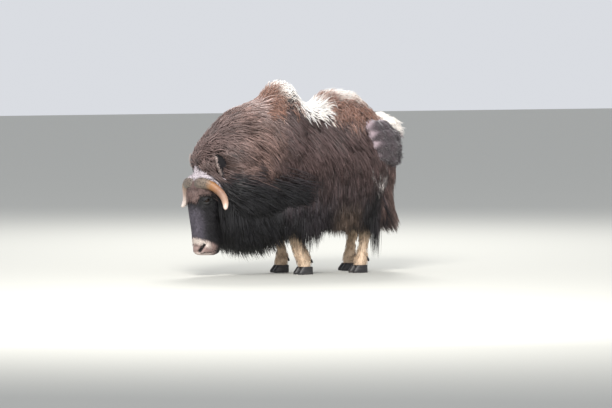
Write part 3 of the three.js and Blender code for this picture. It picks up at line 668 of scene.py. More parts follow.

# %% [markdown]
# ## Markings
#
# The same two functions colour the skin and the hair that grows from it, so no edge shows where the hair
# parts. The mane is the lightest part of the long coat, the throat and lower neck are nearly black, and
# the loosened wool is orange brown, with cream crests that are partly its own pale colour and partly
# painted light from above. Near her head the near-black hair reaches higher, as painted shade behind ear
# and horn. Her nose bridge is grey and her lips are white.

# %% Markings of the head
def face_colour(points):
    """Near black, with a grey bridge, whitish lips, reddish brows and a pale poll."""
    f, l, z = head_coordinates(points)
    side = np.abs(l)
    colour = mix(FACE_HAIR, BLACK_HAIR, smooth(0, -60, f))
    bridge = smooth(30, 85, f) * smooth(80, 40, side) * smooth(215, 280, z) * smooth(500, 400, z)
    colour = mix(colour, BRIDGE_HAIR, bridge)
    colour = mix(colour, BROW_HAIR, smooth(530, 556, z) * smooth(10, 50, f))
    eyes = np.minimum(*(np.linalg.norm(points - eye_centre(s), axis=-1) for s in (1, -1)))
    colour = mix(colour, BLACK_HAIR, 0.85 * smooth(72, 40, eyes))
    lip_top = 235 + 0.25 * f - 0.2 * side
    colour = mix(colour, NOSE_LEATHER, smooth(lip_top + 14, lip_top - 6, z) * smooth(-45, 0, f))
    pale = smooth(lip_top + 8, lip_top - 4, z) * smooth(lip_top - 52, lip_top - 24, z)
    colour = mix(colour, MUZZLE_HAIR, pale * smooth(0, 50, f))
    colour = mix(colour, MUZZLE_HAIR, 0.5 * smooth(166, 154, z) * smooth(-20, 20, f))
    return mix(colour, POLL_HAIR, smooth(618, 640, z))


print("colour of the lips:", face_colour(head_place(80, 0, 235)[None]).round(2))


# %% Markings of the body
# Near her head the edge is set higher, so that the near-black hair also paints the shade behind ear and horn.
DARK_EDGE = curve(
    [
        [-760, 600],
        [-660, 655],
        [-600, 665],
        [-540, 625],
        [-484, 582],
        [-420, 595],
        [-330, 625],
        [-250, 640],
        [-200, 640],
    ]
)  # along her, and the height where the pale mane meets the near-black hair


def over_dark_edge(points):
    """How far a place lies above that edge."""
    return points[..., 2] - DARK_EDGE(points[..., 0])[..., 0]


def body_colour(points):
    """The long coat: light mane, near-black throat and shoulder, dark brown flanks, lighter rump,
    and painted shade in the hollow before the hip and behind the ear.
    """
    x, z = points[..., 0], points[..., 2]
    over_edge = over_dark_edge(points)
    colour = mix(FLANK_HAIR, BACK_HAIR, smooth(620, 900, z))
    colour = mix(colour, BLACK_HAIR, 0.7 * smooth(430, 330, z))
    straw = smooth(90, 150, x) * smooth(360, 270, x) * smooth(760, 560, z) * smooth(330, 420, z)
    colour = mix(colour, STRAW_HAIR, 0.4 * straw)
    # Painted shade: near black in the hollow in front of the hip.
    hollow = smooth(330, 400, x) * smooth(480, 430, x) * smooth(860, 760, z) * smooth(430, 560, z)
    colour = mix(colour, BLACK_HAIR, 0.95 * hollow)
    colour = mix(colour, THROAT_HAIR, smooth(-190, -250, x) * smooth(15, -35, over_edge))
    colour = mix(colour, THROAT_HAIR, 0.9 * smooth(-50, -110, x) * smooth(640, 590, z))
    mane = smooth(-400, -470, x - 0.35 * (z - 900)) * smooth(0, 60, over_edge)
    tone = mix(mix(NAPE_HAIR, MANE_HAIR, smooth(-700, -560, x)), MANE_TOP, smooth(960, 1050, z))
    colour = mix(colour, tone, mane)
    rear = smooth(470, 550, x)
    return mix(colour, RUMP_HAIR, rear * smooth(330, 480, z))


print("colour of the mane:", body_colour(np.array([[-450.0, -200.0, 900.0]])).round(3))


# %% Markings of the wool
def wool_colour(points):
    """The loosened wool of her back: orange brown, cream in the saddle, and cream where it stands highest,
    which is partly its own pale colour and partly painted light from above.
    """
    x, z = points[..., 0], points[..., 2]
    colour = mix(MANE_TOP, ORANGE_WOOL, smooth(-430, -370, x))
    colour = mix(colour, BACK_HAIR, 0.75 * smooth(1030, 960, z))
    saddle = smooth(-140, -90, x) * smooth(110, 60, x)
    colour = mix(colour, CREAM_WOOL, saddle)
    # Cream crests over the withers: partly the wool's own pale colour, partly painted light on the tops.
    crest_foot = lerp(1090, 1020, smooth(-160, -90, x))
    crest_and_top_light = smooth(-270, -200, x) * smooth(-30, -70, x) * smooth(crest_foot, 1140, z)
    colour = mix(colour, CREAM_WOOL, crest_and_top_light)
    # The same cream crest on the loins, partly pale wool and partly painted light on the tops.
    colour = mix(colour, CREAM_WOOL, 0.9 * smooth(90, 160, x) * smooth(1070, 1100, z))
    return mix(colour, CREAM_WOOL, smooth(440, 520, x))


print("colour of the wool in the saddle:", wool_colour(np.array([[-20.0, 0.0, 1120.0]])).round(3))

# %% [markdown]
# ## How hair grows
#
# A hair is walked step by step. At every step it takes the way the coat lies there, keeps to the body's
# surface and rises through the coat's depth. Where the body turns under, it lets go and hangs straight
# down.
#
# Hair could be grown with particles or curves, but solid tufts show their thickness and keep their shape
# in other programs. Each tuft is a thin three-sided blade that bends and ends in a point.

# %% Walking a hair
def ways(surface, u, v, depth, near_u=4.0, near_v=0.03):
    """The ways along and around a surface, per step of u and v, and straight out of it."""
    along = (surface(u + near_u, v, depth) - surface(u - near_u, v, depth)) / (2 * near_u)
    around = (surface(u, v + near_v, depth) - surface(u, v - near_v, depth)) / (2 * near_v)
    return along, around, unit(np.cross(around, along))


def walk(surface, u, v, root, tip, length, lie, rise, limits, hangs, steps=12):
    """Lines of hairs, steps + 1 points each, and the way out of the coat at each point."""
    step = length / steps
    depth = root
    place = surface(u, v, depth)
    free = np.zeros(len(u))
    line, outs = [place], []
    for k in range(steps):
        along, around, out = ways(surface, u, v, depth)
        aim = lie(place, out)
        aa, ab, bb = (along * along).sum(-1), (along * around).sum(-1), (around * around).sum(-1)
        a, b = (aim * along).sum(-1), (aim * around).sum(-1)
        spread = np.maximum(aa * bb - ab * ab, 1e-3)
        du, dv = (bb * a - ab * b) / spread, (aa * b - ab * a) / spread
        size = np.linalg.norm(du[:, None] * along + dv[:, None] * around, axis=-1)
        scale = step / np.maximum(size, 0.35)
        next_depth = lerp(root, tip, smooth(0, rise, (k + 1) / steps))
        next_u, next_v = np.clip(u + du * scale, *limits), v + dv * scale
        slide = surface(next_u, next_v, next_depth) - surface(u, v, depth)
        if hangs:
            free = np.maximum(free, smooth(0.3, -0.1, out[:, 2]))
        free = np.maximum(free, (next_u >= limits[1]) * 1.0)
        place = place + lerp(slide, unit(aim) * step[:, None], free[:, None])
        u, v, depth = next_u, next_v, next_depth
        line.append(place)
        outs.append(out)
    outs.append(outs[-1])
    return np.stack(line, 1), np.stack(outs, 1)


print("the way out of her left flank:", ways(trunk_point, np.zeros(1), np.full(1, 1.5), 0.3)[2].round(2))


# %% Scattering the roots
def patch_area(surface, u, v):
    """The skin in square millimetres that one step of u and v covers at a place."""
    along, around, _ = ways(surface, u, v, 0.3)
    return np.linalg.norm(np.cross(along, around), axis=-1)


def scatter(surface, u_range, v_range, count, density=None, cells=(90, 96)):
    """Places for roots, even by area and thinned where the density says so."""
    u_edges = np.linspace(*u_range, cells[0] + 1)
    v_edges = np.linspace(*v_range, cells[1] + 1)
    middles = [(edges[1:] + edges[:-1]) / 2 for edges in (u_edges, v_edges)]
    u, v = (grid.ravel() for grid in np.meshgrid(*middles, indexing="ij"))
    weight = patch_area(surface, u, v)
    if density is not None:
        weight = weight * density(surface(u, v, 0.0), u, v)
    pick = rng.choice(len(u), count, p=weight / weight.sum())
    u = u[pick] + (rng.random(count) - 0.5) * (u_edges[1] - u_edges[0])
    v = v[pick] + (rng.random(count) - 0.5) * (v_edges[1] - v_edges[0])
    return u, v


areas = patch_area(trunk_point, np.array([0.0, -700.0]), np.array([1.5, 1.5]))
print("skin to a step of u and v, at the flank and at the nape:", areas.round())

# %% [markdown]
# ## Solid tufts
#
# A tuft is a few hairs that stick together. Its section is a triangle, its sides bulge in the middle, and
# it ends in a point. Each is turned a little about its own line, so that no two catch the light alike.
# Every piece also gets a map for baking, in which a tuft has a small patch at its root's place.

# %% Points and faces of a tuft
def resample(line, shares):
    """Points at these shares of each line's length."""
    steps = line.shape[1] - 1
    at = np.asarray(shares) * steps
    i = np.minimum(at.astype(int), steps - 1)
    t = (at - i)[None, :, None]
    return line[:, i] * (1 - t) + line[:, i + 1] * t


def blade_faces(rings, count):
    """Quads and triangles of equal blades, each a three-sided strip that is closed at its root."""
    quads, triangles = [], []
    for k in range(rings - 2):
        for i in range(3):
            a, b = 3 * k + i, 3 * k + (i + 1) % 3
            quads.append([a, b, b + 3, a + 3])
    last = 3 * (rings - 2)
    each = last + 4
    for i in range(3):
        triangles.append([last + i, last + (i + 1) % 3, each - 1])
    triangles.append([2, 1, 0])
    start = (np.arange(count) * each)[:, None, None]
    return [(np.array(faces)[None] + start).reshape(-1, np.shape(faces)[1]) for faces in (quads, triangles)]


print("faces of one tuft of four rings:", [len(faces) for faces in blade_faces(4, 1)])

# %% Solid tufts from lines
TUFT_PATCH = 0.0028  # width of a tuft's place in the map


def add_piece(name, mesh, material, slot, *nodes):
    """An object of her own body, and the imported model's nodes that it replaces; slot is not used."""
    mesh.materials.append(material)
    piece = add_object(name, mesh)
    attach(piece, "root")
    if nodes:
        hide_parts(*nodes)


def add_map(mesh, places):
    layer = mesh.uv_layers.new(name="OFBake")
    layer.data.foreach_set("uv", places.astype(np.float32).ravel())


def tufts(name, line, outs, width, root_colour, tip_colour, unwrap, stations, material, slot):
    """One coat piece: a closed three-sided blade along every line."""
    shares = np.array(stations)
    p, out = resample(line, shares), unit(resample(outs, shares))
    count, rings = p.shape[:2]
    tangent = unit(np.gradient(p, axis=1))
    across = unit(np.cross(tangent, out))
    lift = np.cross(across, tangent)
    profile = (0.55 + 1.5 * shares * (1 - shares)) * (1 - shares**5)
    half = (width[:, None] * profile[None, :] / 2)[..., None]
    twist = rng.uniform(-0.7, 0.7, count)[:, None, None]
    side = across * np.cos(twist) + lift * np.sin(twist)
    ridge = np.cross(side, tangent)
    ring = np.stack([p - side * half, p + side * half, p + ridge * (0.7 * half)], 2)
    points = np.concatenate([ring[:, :-1].reshape(count, -1, 3), p[:, -1:]], 1)
    each = points.shape[1]
    mesh = new_mesh(name, points.reshape(-1, 3), *blade_faces(rings, count))
    along = np.concatenate([np.repeat(shares[:-1], 3), [1.0]])
    tones = mix(root_colour[:, None, :], tip_colour[:, None, :], along[None, :] ** 1.5)
    set_attribute(mesh, "markings", tones.reshape(-1, 3))
    set_attribute(mesh, "strand", np.repeat(rng.random(count), each))
    over = (np.tile([0, 1, 0.5], rings)[:each] - 0.5) * TUFT_PATCH
    patch = np.stack([over, (along - 0.5) * TUFT_PATCH], -1)
    places = (unwrap * 0.99 + 0.005)[:, None, :] + patch[None]
    add_map(mesh, places.reshape(-1, 2)[read(mesh.loops, "vertex_index", 1, np.int32)[:, 0]])
    print(name, "tufts:", count, " triangles:", triangle_count(mesh))
    add_piece(name, mesh, material, slot)


# %% [markdown]
# ## Materials for hair and skin
#
# Hair is keratin, which bends light with an IOR of 1.55. The mesh carries each hair's own colour, so a
# material only adds the streaks within a tuft and the gleam. The markings could be painted on an image
# instead, but an attribute needs no picture. Real hairs are 0.03 to 0.1 mm thick, too fine to show, so
# the streaks are drawn at the size of the small strands that hair sticks together in.

# %% One helper for nodes
def add_node(tree, kind, links=(), inputs=(), stops=(), **settings):
    """A node with its settings, the values of its sockets, its links and, for a ramp, its colours."""
    node = tree.nodes.new(kind)
    for key, value in settings.items():
        setattr(node, key, value)
    for socket, value in dict(inputs).items():
        node.inputs[socket].default_value = value
    for source, socket in links:
        tree.links.new(source, node.inputs[socket])
    for k, (place, colour) in enumerate(stops):
        element = node.color_ramp.elements[k] if k < 2 else node.color_ramp.elements.new(place)
        element.position = place
        element.color = (*hex_colour(colour), 1)
    return node


def per_metre(millimetres):
    """The scale of a pattern whose marks are this far apart."""
    return 1000 / millimetres


def new_material(name, roughness, ior):
    """A material with its tree and its shader, which bends light by this index."""
    material = bpy.data.materials.new(name)
    material.use_nodes = True
    tree = material.node_tree
    shader = tree.nodes["Principled BSDF"]
    shader.inputs["Roughness"].default_value = roughness
    shader.inputs["IOR"].default_value = ior
    return material, tree, shader


print("scale of a pattern of 6 mm:", round(per_metre(6), 1))


# %% Hair, wool and hide
KERATIN_IOR = 1.55
STRAND = 6.0  # mm between the small strands that hair sticks together in


def hair_material(name, roughness, contrast, sheen=0.0):
    """Hair whose colour comes from the mesh, with streaks finer than a tuft."""
    material, tree, shader = new_material(name, roughness, KERATIN_IOR)
    markings = add_node(tree, "ShaderNodeAttribute", attribute_name="markings").outputs["Color"]
    place = add_node(tree, "ShaderNodeTexCoord").outputs["Object"]
    scale = {"Scale": per_metre(STRAND), "Detail": 3.0}
    streaks = add_node(tree, "ShaderNodeTexNoise", [(place, "Vector")], scale).outputs["Fac"]
    reach = {"To Min": 1 - contrast, "To Max": 1 + contrast}
    darkness = add_node(tree, "ShaderNodeMapRange", [(streaks, "Value")], reach).outputs["Result"]
    links = [(markings, "Vector"), (darkness, "Scale")]
    shade = add_node(tree, "ShaderNodeVectorMath", links, operation="SCALE")
    tree.links.new(shade.outputs["Vector"], shader.inputs["Base Color"])
    shader.inputs["Sheen Weight"].default_value = sheen
    return material


# Guard hair: grown, smooth and long, so a lock shows a soft gleam along its bend.
guard_hair = hair_material("guard hair", 0.5, 0.25)
# Shed underwool: fine crimped fibre that mats like felt, so it has no gleam, only a pale bloom at its edges.
under_wool = hair_material("matted underwool", 0.85, 0.18, 0.3)
# Short hair of the face and legs: coarse, dense and combed flat, so it looks like brushed velvet.
short_hair = hair_material("short coarse hair", 0.62, 0.22)
# Hide: leathery and dry, dull where it shows between hairs, as on the lips.
hide = hair_material("hide", 0.7, 0.3)
print("materials so far:", [material.name for material in bpy.data.materials][-4:])

# %% [markdown]
# ## The skin
#
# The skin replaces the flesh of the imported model. It lies deeper than that model's surface, because the
# packed one stands for half of the coat as well. It could be one plain dark colour, but it shows between
# the hairs of the face, in the ears and wherever locks part, so it takes its colours from the same
# markings as the hair.

# %% The skin's shape
TAIL_HAIRED = [
    (850, 588, 30, 18),
    (800, 622, 36, 20),
    (735, 646, 38, 20),
    (660, 654, 32, 16),
    (600, 654, 14, 8),
]  # height, along her, half width, half thickness
TAIL_FLESH = 0.7  # share of the haired tail that is flesh
NO_TRIANGLES = np.zeros((0, 3), int)


def tail_rings():
    turn = turns(20)
    rings = []
    for z, x, half, thick in TAIL_HAIRED:
        along, across = TAIL_FLESH * thick * np.cos(turn), TAIL_FLESH * half * np.sin(turn)
        rings.append(np.stack([x - 8 + along, across, np.full(20, z)], -1))
    return np.stack(rings)


parts = [(head_skin, head_faces, NO_TRIANGLES), (body_skin, body_faces, NO_TRIANGLES)]
parts += [(points, faces, NO_TRIANGLES) for points, _, faces in leg_skins.values()]
parts += [ears[1], ears[-1], loft(tail_rings())]
skin_mesh = new_mesh("skin", *join_forms(parts))
print("skin triangles:", triangle_count(skin_mesh))

# %% The skin's colours
UNDER_HAIR = 0.6  # skin in the shade of the long coat


def leg_colour(points):
    """Pale, a little greyer above the hooves, and brown where the long coat begins."""
    z = points[..., 2]
    pale = mix(LEG_HAIR, LEG_SHADE, 0.5 * smooth(300, 200, z))
    return mix(pale, BACK_HAIR, 0.85 * smooth(190, 380, z))


face = face_colour(head_skin)
# Painted shade: near black inside the nostrils, and dark along the crease of the mouth.
face = mix(face, NOSTRIL_SHADE, smooth(16, 9, nostril_near))
face = mix(face, MOUTH_CREASE_SHADE, smooth(7, 3, mouth_near))
face = mix(face, EYELID, smooth(1.7, 1.25, lid_near))
tones = [face, body_colour(body_skin) * UNDER_HAIR]
tones += [leg_colour(points) for points, _, _ in leg_skins.values()]
tones += [np.tile(FACE_HAIR, (len(ears[side][0]), 1)) for side in (1, -1)]
tones.append(body_colour(parts[-1][0]) * UNDER_HAIR)
set_attribute(skin_mesh, "markings", np.concatenate(tones))
flesh = ["head", "neck", "torso", "tail", "ear_left", "ear_right"] + [f"leg_{name}" for name in LEGS]
add_piece("skin", skin_mesh, hide, "coat", *flesh)
print("nodes that the skin replaces:", len(flesh))

# %% [markdown]
# ## Eyes
#
# A muskox's eye is large and nearly black, and its cornea bulges over the iris. A plain sphere would do
# at a distance, but the bulge is what gathers the light into one small glint. So the ball is lofted along
# its line of sight and swells in front. Two numbers on its points tell the material how far each lies
# across and above that line.

# %% Eyeballs
SIDES = {"left": 1, "right": -1}
CORNEA_RISE = 1.4  # mm that the cornea stands over the ball


def gaze(side):
    return unit(side * LEFTWARD + 0.55 * FORWARD - 0.1 * UP)


def eye_mesh(side):
    """An eyeball whose poles lie on its line of sight, with a bulging cornea."""
    sight = gaze(side)
    level = unit(np.cross(UP, sight))
    high = np.cross(sight, level)
    turn = turns(48)[None, :]
    bands = np.linspace(0.03, np.pi - 0.03, 40)[:, None]
    radius = EYE_RADIUS - 0.6 + CORNEA_RISE * bell(bands, 0.5)
    offset = (
        sight * (np.cos(bands) * radius)[..., None] * np.ones_like(turn)[..., None]
        + level * (np.sin(bands) * np.cos(turn) * radius)[..., None]
        + high * (np.sin(bands) * np.sin(turn) * radius)[..., None]
    )
    points, quads, triangles = loft(eye_centre(side) + offset)
    mesh = new_mesh("eye", points, quads, triangles)
    away = points - eye_centre(side)
    set_attribute(mesh, "across", away @ level)
    set_attribute(mesh, "high", away @ high)
    return mesh


print("her left eye looks:", gaze(1).round(2))

# %% A wet eye
CORNEA_IOR = 1.376


def eye_material():
    """A wet cornea over a dark brown iris: it mirrors the lights sharply, and its pupil is a level slot."""
    material, tree, shader = new_material("wet cornea", 0.03, CORNEA_IOR)
    across = add_node(tree, "ShaderNodeAttribute", attribute_name="across").outputs["Fac"]
    high = add_node(tree, "ShaderNodeAttribute", attribute_name="high").outputs["Fac"]
    flat = add_node(tree, "ShaderNodeCombineXYZ", [(across, "X"), (high, "Y")]).outputs["Vector"]
    reach = 1 / EYE_RADIUS
    rounds = []
    for squeeze in ((reach, reach, 1), (0.62 * reach, 1.35 * reach, 1)):
        fitted = add_node(tree, "ShaderNodeVectorMath", [(flat, 0)], {1: squeeze}, operation="MULTIPLY")
        length = add_node(tree, "ShaderNodeVectorMath", [(fitted.outputs["Vector"], 0)], operation="LENGTH")
        rounds.append(length.outputs["Value"])
    iris_stops = [(0.2, "#2a1910"), (0.52, "#1a0f0a"), (0.6, "#120d0e")]
    pupil_stops = [(0.2, "#050506"), (0.25, "#ffffff")]
    iris = add_node(tree, "ShaderNodeValToRGB", [(rounds[0], "Fac")], stops=iris_stops).outputs["Color"]
    pupil = add_node(tree, "ShaderNodeValToRGB", [(rounds[1], "Fac")], stops=pupil_stops).outputs["Color"]
    colour = add_node(tree, "ShaderNodeVectorMath", [(iris, 0), (pupil, 1)], operation="MULTIPLY")
    tree.links.new(colour.outputs["Vector"], shader.inputs["Base Color"])
    return material


eye_look = eye_material()
for name, side in SIDES.items():
    add_piece(f"eyeball_{name}", eye_mesh(side), eye_look, "eye", f"eye_{name}")
print("nodes of the eye's material:", len(eye_look.node_tree.nodes))

# %% [markdown]
# ## Horns
#
# A cow's horns leave the brow sideways from two rough bosses, hang close beside the eyes and hook up at
# the tip. A curve with a bevel would have one round section all along. A loft lets it change from a broad
# boss to a slim tip, and the furrows of the boss and the low rings of the shaft are in its points.

# %% The horns' shape
HORN = [
    [0, 92, 14, 606, 34, 22],
    [1, 92, 55, 609, 37, 27],
    [2, 78, 98, 606, 34, 28],
    [3, 56, 138, 590, 29, 27],
    [4, 32, 170, 560, 27, 25],
    [5, 14, 192, 526, 25, 23],
    [6, 8, 205, 490, 22, 20],
    [7, 14, 216, 462, 17, 16],
    [8, 26, 228, 444, 9, 9],
]  # step, forward, left, height, half height, half thickness
TIP_STEP = 7.4  # where the horn begins to close


def horn_mesh(side, count=90, sides=36):
    at = np.linspace(0, 8, count)
    f, l, z, high, thick = np.moveaxis(curve(HORN)(at), -1, 0)
    blunt = np.sqrt(np.clip(1 - ((at - TIP_STEP) / 0.62) ** 2, 0.02, 1))
    close = np.where(at > TIP_STEP, blunt, 1)
    line = head_place(f, side * l, z)
    tangent = unit(np.gradient(line, axis=0))
    upright = unit(np.cross(tangent, FORWARD))
    onward = np.cross(upright, tangent)
    turn = turns(sides)[None, :]
    boss = smooth(2.6, 0.8, at)[:, None]
    grain = 2.2 * np.sin(9 * turn + 1.5 * np.sin(3 * at)[:, None]) + 1.4 * np.sin(17 * turn + 3 * at[:, None])
    grain = boss * (grain + 1.1 * np.sin(13 * at)[:, None] * np.sin(5 * turn))
    rings = 0.5 * (1 - boss) * np.sin(at * 9)[:, None] * smooth(6.5, 4, at)[:, None]
    swell = 1 + (grain + rings) / 40
    deep = (thick * close)[:, None] * np.cos(turn) * swell
    tall = (high * close)[:, None] * np.sin(turn) * swell
    points = line[:, None] + onward[:, None] * deep[..., None] + upright[:, None] * tall[..., None]
    mesh = new_mesh("horn", *loft(points))
    set_attribute(mesh, "along", np.concatenate([np.repeat(at / 8, sides), [0, 1]]))
    return mesh


horns = {name: horn_mesh(side) for name, side in SIDES.items()}
print("triangles of a horn:", triangle_count(horns["left"]))

# %% [markdown]
# ## Horn sheath
#
# The sheath is keratin that grows in layers over bone. On the boss it is grey, pitted and dull. Down the
# shaft it is amber and worn smooth, and the tip is rubbed nearly white. An image could be painted for it,
# but a ramp along the horn, shifted by a coarse noise, gives the same stained bands on any horn.

# %% The horns' material
BLOTCH = 38.0  # mm across the stains
PIT = 9.0  # mm from pit to pit
FIBRE = 5.5  # mm between bundles of fibres, whose single ones of some tenths are too fine to show


def horn_material(name, outer_stops):
    """Horn grown in sheaths: fibrous, pitted and dull over the brow, worn smooth and paler to the tip."""
    material, tree, shader = new_material(name, 0.42, KERATIN_IOR)
    along = add_node(tree, "ShaderNodeAttribute", attribute_name="along").outputs["Fac"]
    place = add_node(tree, "ShaderNodeTexCoord").outputs["Object"]
    noises = []
    for millimetres, detail in ((BLOTCH, 6.0), (PIT, 4.0), (FIBRE, 5.0)):
        scale = {"Scale": per_metre(millimetres), "Detail": detail}
        noises.append(add_node(tree, "ShaderNodeTexNoise", [(place, "Vector")], scale).outputs["Fac"])
    blotch, pits, fibres = noises
    shift = add_node(tree, "ShaderNodeMath", [(blotch, 0), (along, 2)], {1: 0.16}, operation="MULTIPLY_ADD")
    stops = [(0.1, "#6b6058"), (0.34, "#75675a")] + outer_stops
    ramp = add_node(tree, "ShaderNodeValToRGB", [(shift.outputs["Value"], "Fac")], stops=stops)
    # Painted shade: the boss is darker in its pits.
    pit_range = {"From Min": 0.5, "From Max": 0.64, "To Min": 0.0, "To Max": 0.7}
    boss_range = {"From Min": 0.26, "From Max": 0.4, "To Min": 1.0, "To Max": 0.0}
    deep = add_node(tree, "ShaderNodeMapRange", [(pits, "Value")], pit_range).outputs["Result"]
    rough = add_node(tree, "ShaderNodeMapRange", [(along, "Value")], boss_range).outputs["Result"]
    both = add_node(tree, "ShaderNodeMath", [(deep, 0), (rough, 1)], operation="MULTIPLY").outputs["Value"]
    light = add_node(tree, "ShaderNodeMath", [(both, 1)], {0: 1.0}, operation="SUBTRACT").outputs["Value"]
    links = [(ramp.outputs["Color"], "Vector"), (light, "Scale")]
    colour = add_node(tree, "ShaderNodeVectorMath", links, operation="SCALE")
    tree.links.new(colour.outputs["Vector"], shader.inputs["Base Color"])
    size = {"Strength": 0.6, "Distance": 0.004}
    bump = add_node(tree, "ShaderNodeBump", [(fibres, "Height")], size)
    tree.links.new(bump.outputs["Normal"], shader.inputs["Normal"])
    return material


# The near horn is amber at its bend. The far one is given paler colours as painted light, where light from
# behind falls on it.
outer_horn = {
    "left": [(0.44, "#8f643b"), (0.52, "#8a6144"), (0.64, "#8a6a59"), (0.84, "#b3937f"), (1.0, "#d6bcae")],
    "right": [(0.44, "#9a7a62"), (0.58, "#b89c8e"), (0.8, "#d9c6bd"), (1.0, "#e2d4cc")],
}
for name, stops in outer_horn.items():
    look = horn_material(f"horn sheath {name}", stops)
    add_piece(f"horn_of_{name}", horns[name], look, "horn", f"horn_{name}")
print("nodes of a horn's material:", len(look.node_tree.nodes))

# %% [markdown]
# ## Hooves
#
# Each foot stands on two claws, broad and rounded, with a flat sole and a gap between them. A cube with
# bevels would look like a shoe. The real wall leans in as it rises and is ridged by growth, so each claw
# is a loft of level rings that reach further in front than behind.

# %% The claws' shape
CLAW = [
    [0, 4, 60, 25],
    [12, 3, 61, 25.5],
    [32, 9, 53, 23.5],
    [50, 15, 45, 21],
]  # height, set back, half length, half width
CLAW_APART = 26.5  # mm from the middle of the foot to the middle of a claw


def claw_forms(name, inner):
    x0, y0, toe_out = FEET[name]
    side = (1 if y0 < 0 else -1) * (1 if inner else -1)
    turn = math.radians(toe_out)
    z = np.concatenate([[0.0, 0.0], np.linspace(1.5, 50, 26)])
    back_set, long, half = np.moveaxis(curve(CLAW)(z), -1, 0)
    pull = np.concatenate([[7.0, 2.0], np.zeros(26)])
    rings = 0.5 * np.sin(z * 0.9)
    a = turns(40)[None, :]
    nose = np.where(np.cos(a) < 0, 1, 0.82)
    x = back_set[:, None] + (long - pull + rings)[:, None] * nose * np.cos(a)
    y = side * CLAW_APART + (half - 0.6 * pull + 0.4 * rings)[:, None] * signed_power(np.sin(a), 0.8)
    turned_x = x0 + x * math.cos(turn) - y * math.sin(turn)
    turned_y = y0 + x * math.sin(turn) + y * math.cos(turn)
    return np.stack([turned_x, turned_y, z[:, None] + 0 * a], -1)


print("sections of a claw:", len(claw_forms("front_left", True)))

# %% Hoof horn
HOOF_BAND, HOOF_STREAK = 7.0, 80.0  # mm from band to band, and along one


def hoof_material():
    """Hoof horn: dense and black, dusty and scuffed, with faint bands where it grew."""
    material, tree, shader = new_material("hoof horn", 0.5, KERATIN_IOR)
    place = add_node(tree, "ShaderNodeTexCoord").outputs["Object"]
    squeezed = {"Scale": (per_metre(HOOF_STREAK), per_metre(HOOF_STREAK), per_metre(HOOF_BAND))}
    flat = add_node(tree, "ShaderNodeMapping", [(place, "Vector")], squeezed).outputs["Vector"]
    noise = add_node(tree, "ShaderNodeTexNoise", [(flat, "Vector")], {"Scale": 1.0, "Detail": 5.0})
    bands = noise.outputs["Fac"]
    stops = [(0.3, "#191819"), (0.55, "#2a282a"), (0.75, "#4a4441")]
    tone = add_node(tree, "ShaderNodeValToRGB", [(bands, "Fac")], stops=stops)
    tree.links.new(tone.outputs["Color"], shader.inputs["Base Color"])
    bump = add_node(tree, "ShaderNodeBump", [(bands, "Height")], {"Strength": 0.4, "Distance": 0.001})
    tree.links.new(bump.outputs["Normal"], shader.inputs["Normal"])
    return material


hoof_look = hoof_material()
for name in LEGS:
    for which in (f"{name}_inner", f"{name}_outer"):
        mesh = new_mesh("claw", *loft(claw_forms(name, which.endswith("inner"))))
        add_piece(f"claw_{which}", mesh, hoof_look, "hoof", f"hoof_{which}")

# %% [markdown]
# ## Dewclaws
#
# Behind each fetlock hang two small spare claws, half hidden in the hair. They are too short to need a
# table of their own for every leg, so one small loft follows the back of whichever leg it hangs on.

# %% Dewclaws
# Height, place behind the leg, and radius.
DEWCLAW = [(114, -26, 3), (108, -20, 9), (93, -11, 11), (79, -4, 9), (74, -2, 4)]
DEWCLAW_APART = 20  # mm to either side of the leg's middle
for name in LEGS:
    forms = []
    for side in (1, -1):
        z, behind, radius = np.array(DEWCLAW, float).T
        x, y, deep, _ = np.moveaxis(leg_tables[name](z), -1, 0)
        a = turns(16)[None, :]
        ring_x = (x + deep + behind)[:, None] + radius[:, None] * np.cos(a)
        ring_y = (y + DEWCLAW_APART * side)[:, None] + radius[:, None] * np.sin(a)
        forms.append(loft(np.stack([ring_x, ring_y, z[:, None] + 0 * a], -1)[::-1]))
    add_piece(f"dewclaws_{name}", new_mesh("dewclaws", *join_forms(forms)), hoof_look, "hoof")

# %% [markdown]
# ## Which way the coat lies
#
# On the neck the hair lies almost level, swept back. On the back it runs to the rear and turns down over
# the flanks. Under the throat it hangs and sweeps back, and behind the thighs it flares out. Combing it
# by hand would give the same, but a function of the place can be read and changed.

# %% The lie of the coat
THROAT_LIE = np.array([0.62, 0.0, -0.78])
REAR_LIE = np.array([0.1, 0.0, -0.99])
POLL_TOP = 668.0  # up to here hair grows on her head


def body_lie(place, out):
    x, y, z = place.T
    side = np.where(y < trunk_table(x)[:, 0], -1, 1)
    turn = np.arctan2(np.abs(out[:, 1]), out[:, 2])
    neck = 1 - smooth(-430, -200, x)
    steep = np.radians(lerp(12 + 78 * smooth(0.15, 1.3, turn), 8 + 27 * smooth(0.3, 1.5, turn), neck))
    down = unit(np.stack([0 * x, side * np.maximum(0, out[:, 2]), -np.abs(out[:, 1]) - 0.15], -1))
    along = np.stack([np.cos(steep), 0 * x, 0 * x], -1) + down * np.sin(steep)[:, None]
    along = mix(along, THROAT_LIE, neck * smooth(560, 400, z))
    return unit(mix(along, REAR_LIE, smooth(470, 600, x)))


def throat_lie(place, out):
    x = place[:, 0]
    swept = smooth(-600, -430, x)
    return unit(np.stack([lerp(0.05, 0.42, swept), 0 * x, lerp(-1.0, -0.9, swept)], -1))


def rump_lie(place, out):
    z = place[:, 2]
    return unit(np.stack([lerp(0.08, 0.5, smooth(680, 360, z)), 0 * z, -1 + 0 * z], -1))


def inside_head(points, grow):
    f, l, z = head_coordinates(points)
    middle, deep, half = np.moveaxis(head_table(z), -1, 0)
    size = np.abs((f - middle) / (deep + grow)) ** 2.5 + np.abs(l / (half + grow)) ** 2.5
    return (size < 1) & (z < POLL_TOP + grow) & (z > HEAD_ENDS[0] - grow)


print("hair of the throat points:", throat_lie(np.array([[-500.0, 0.0, 400.0]]), None)[0].round(2))

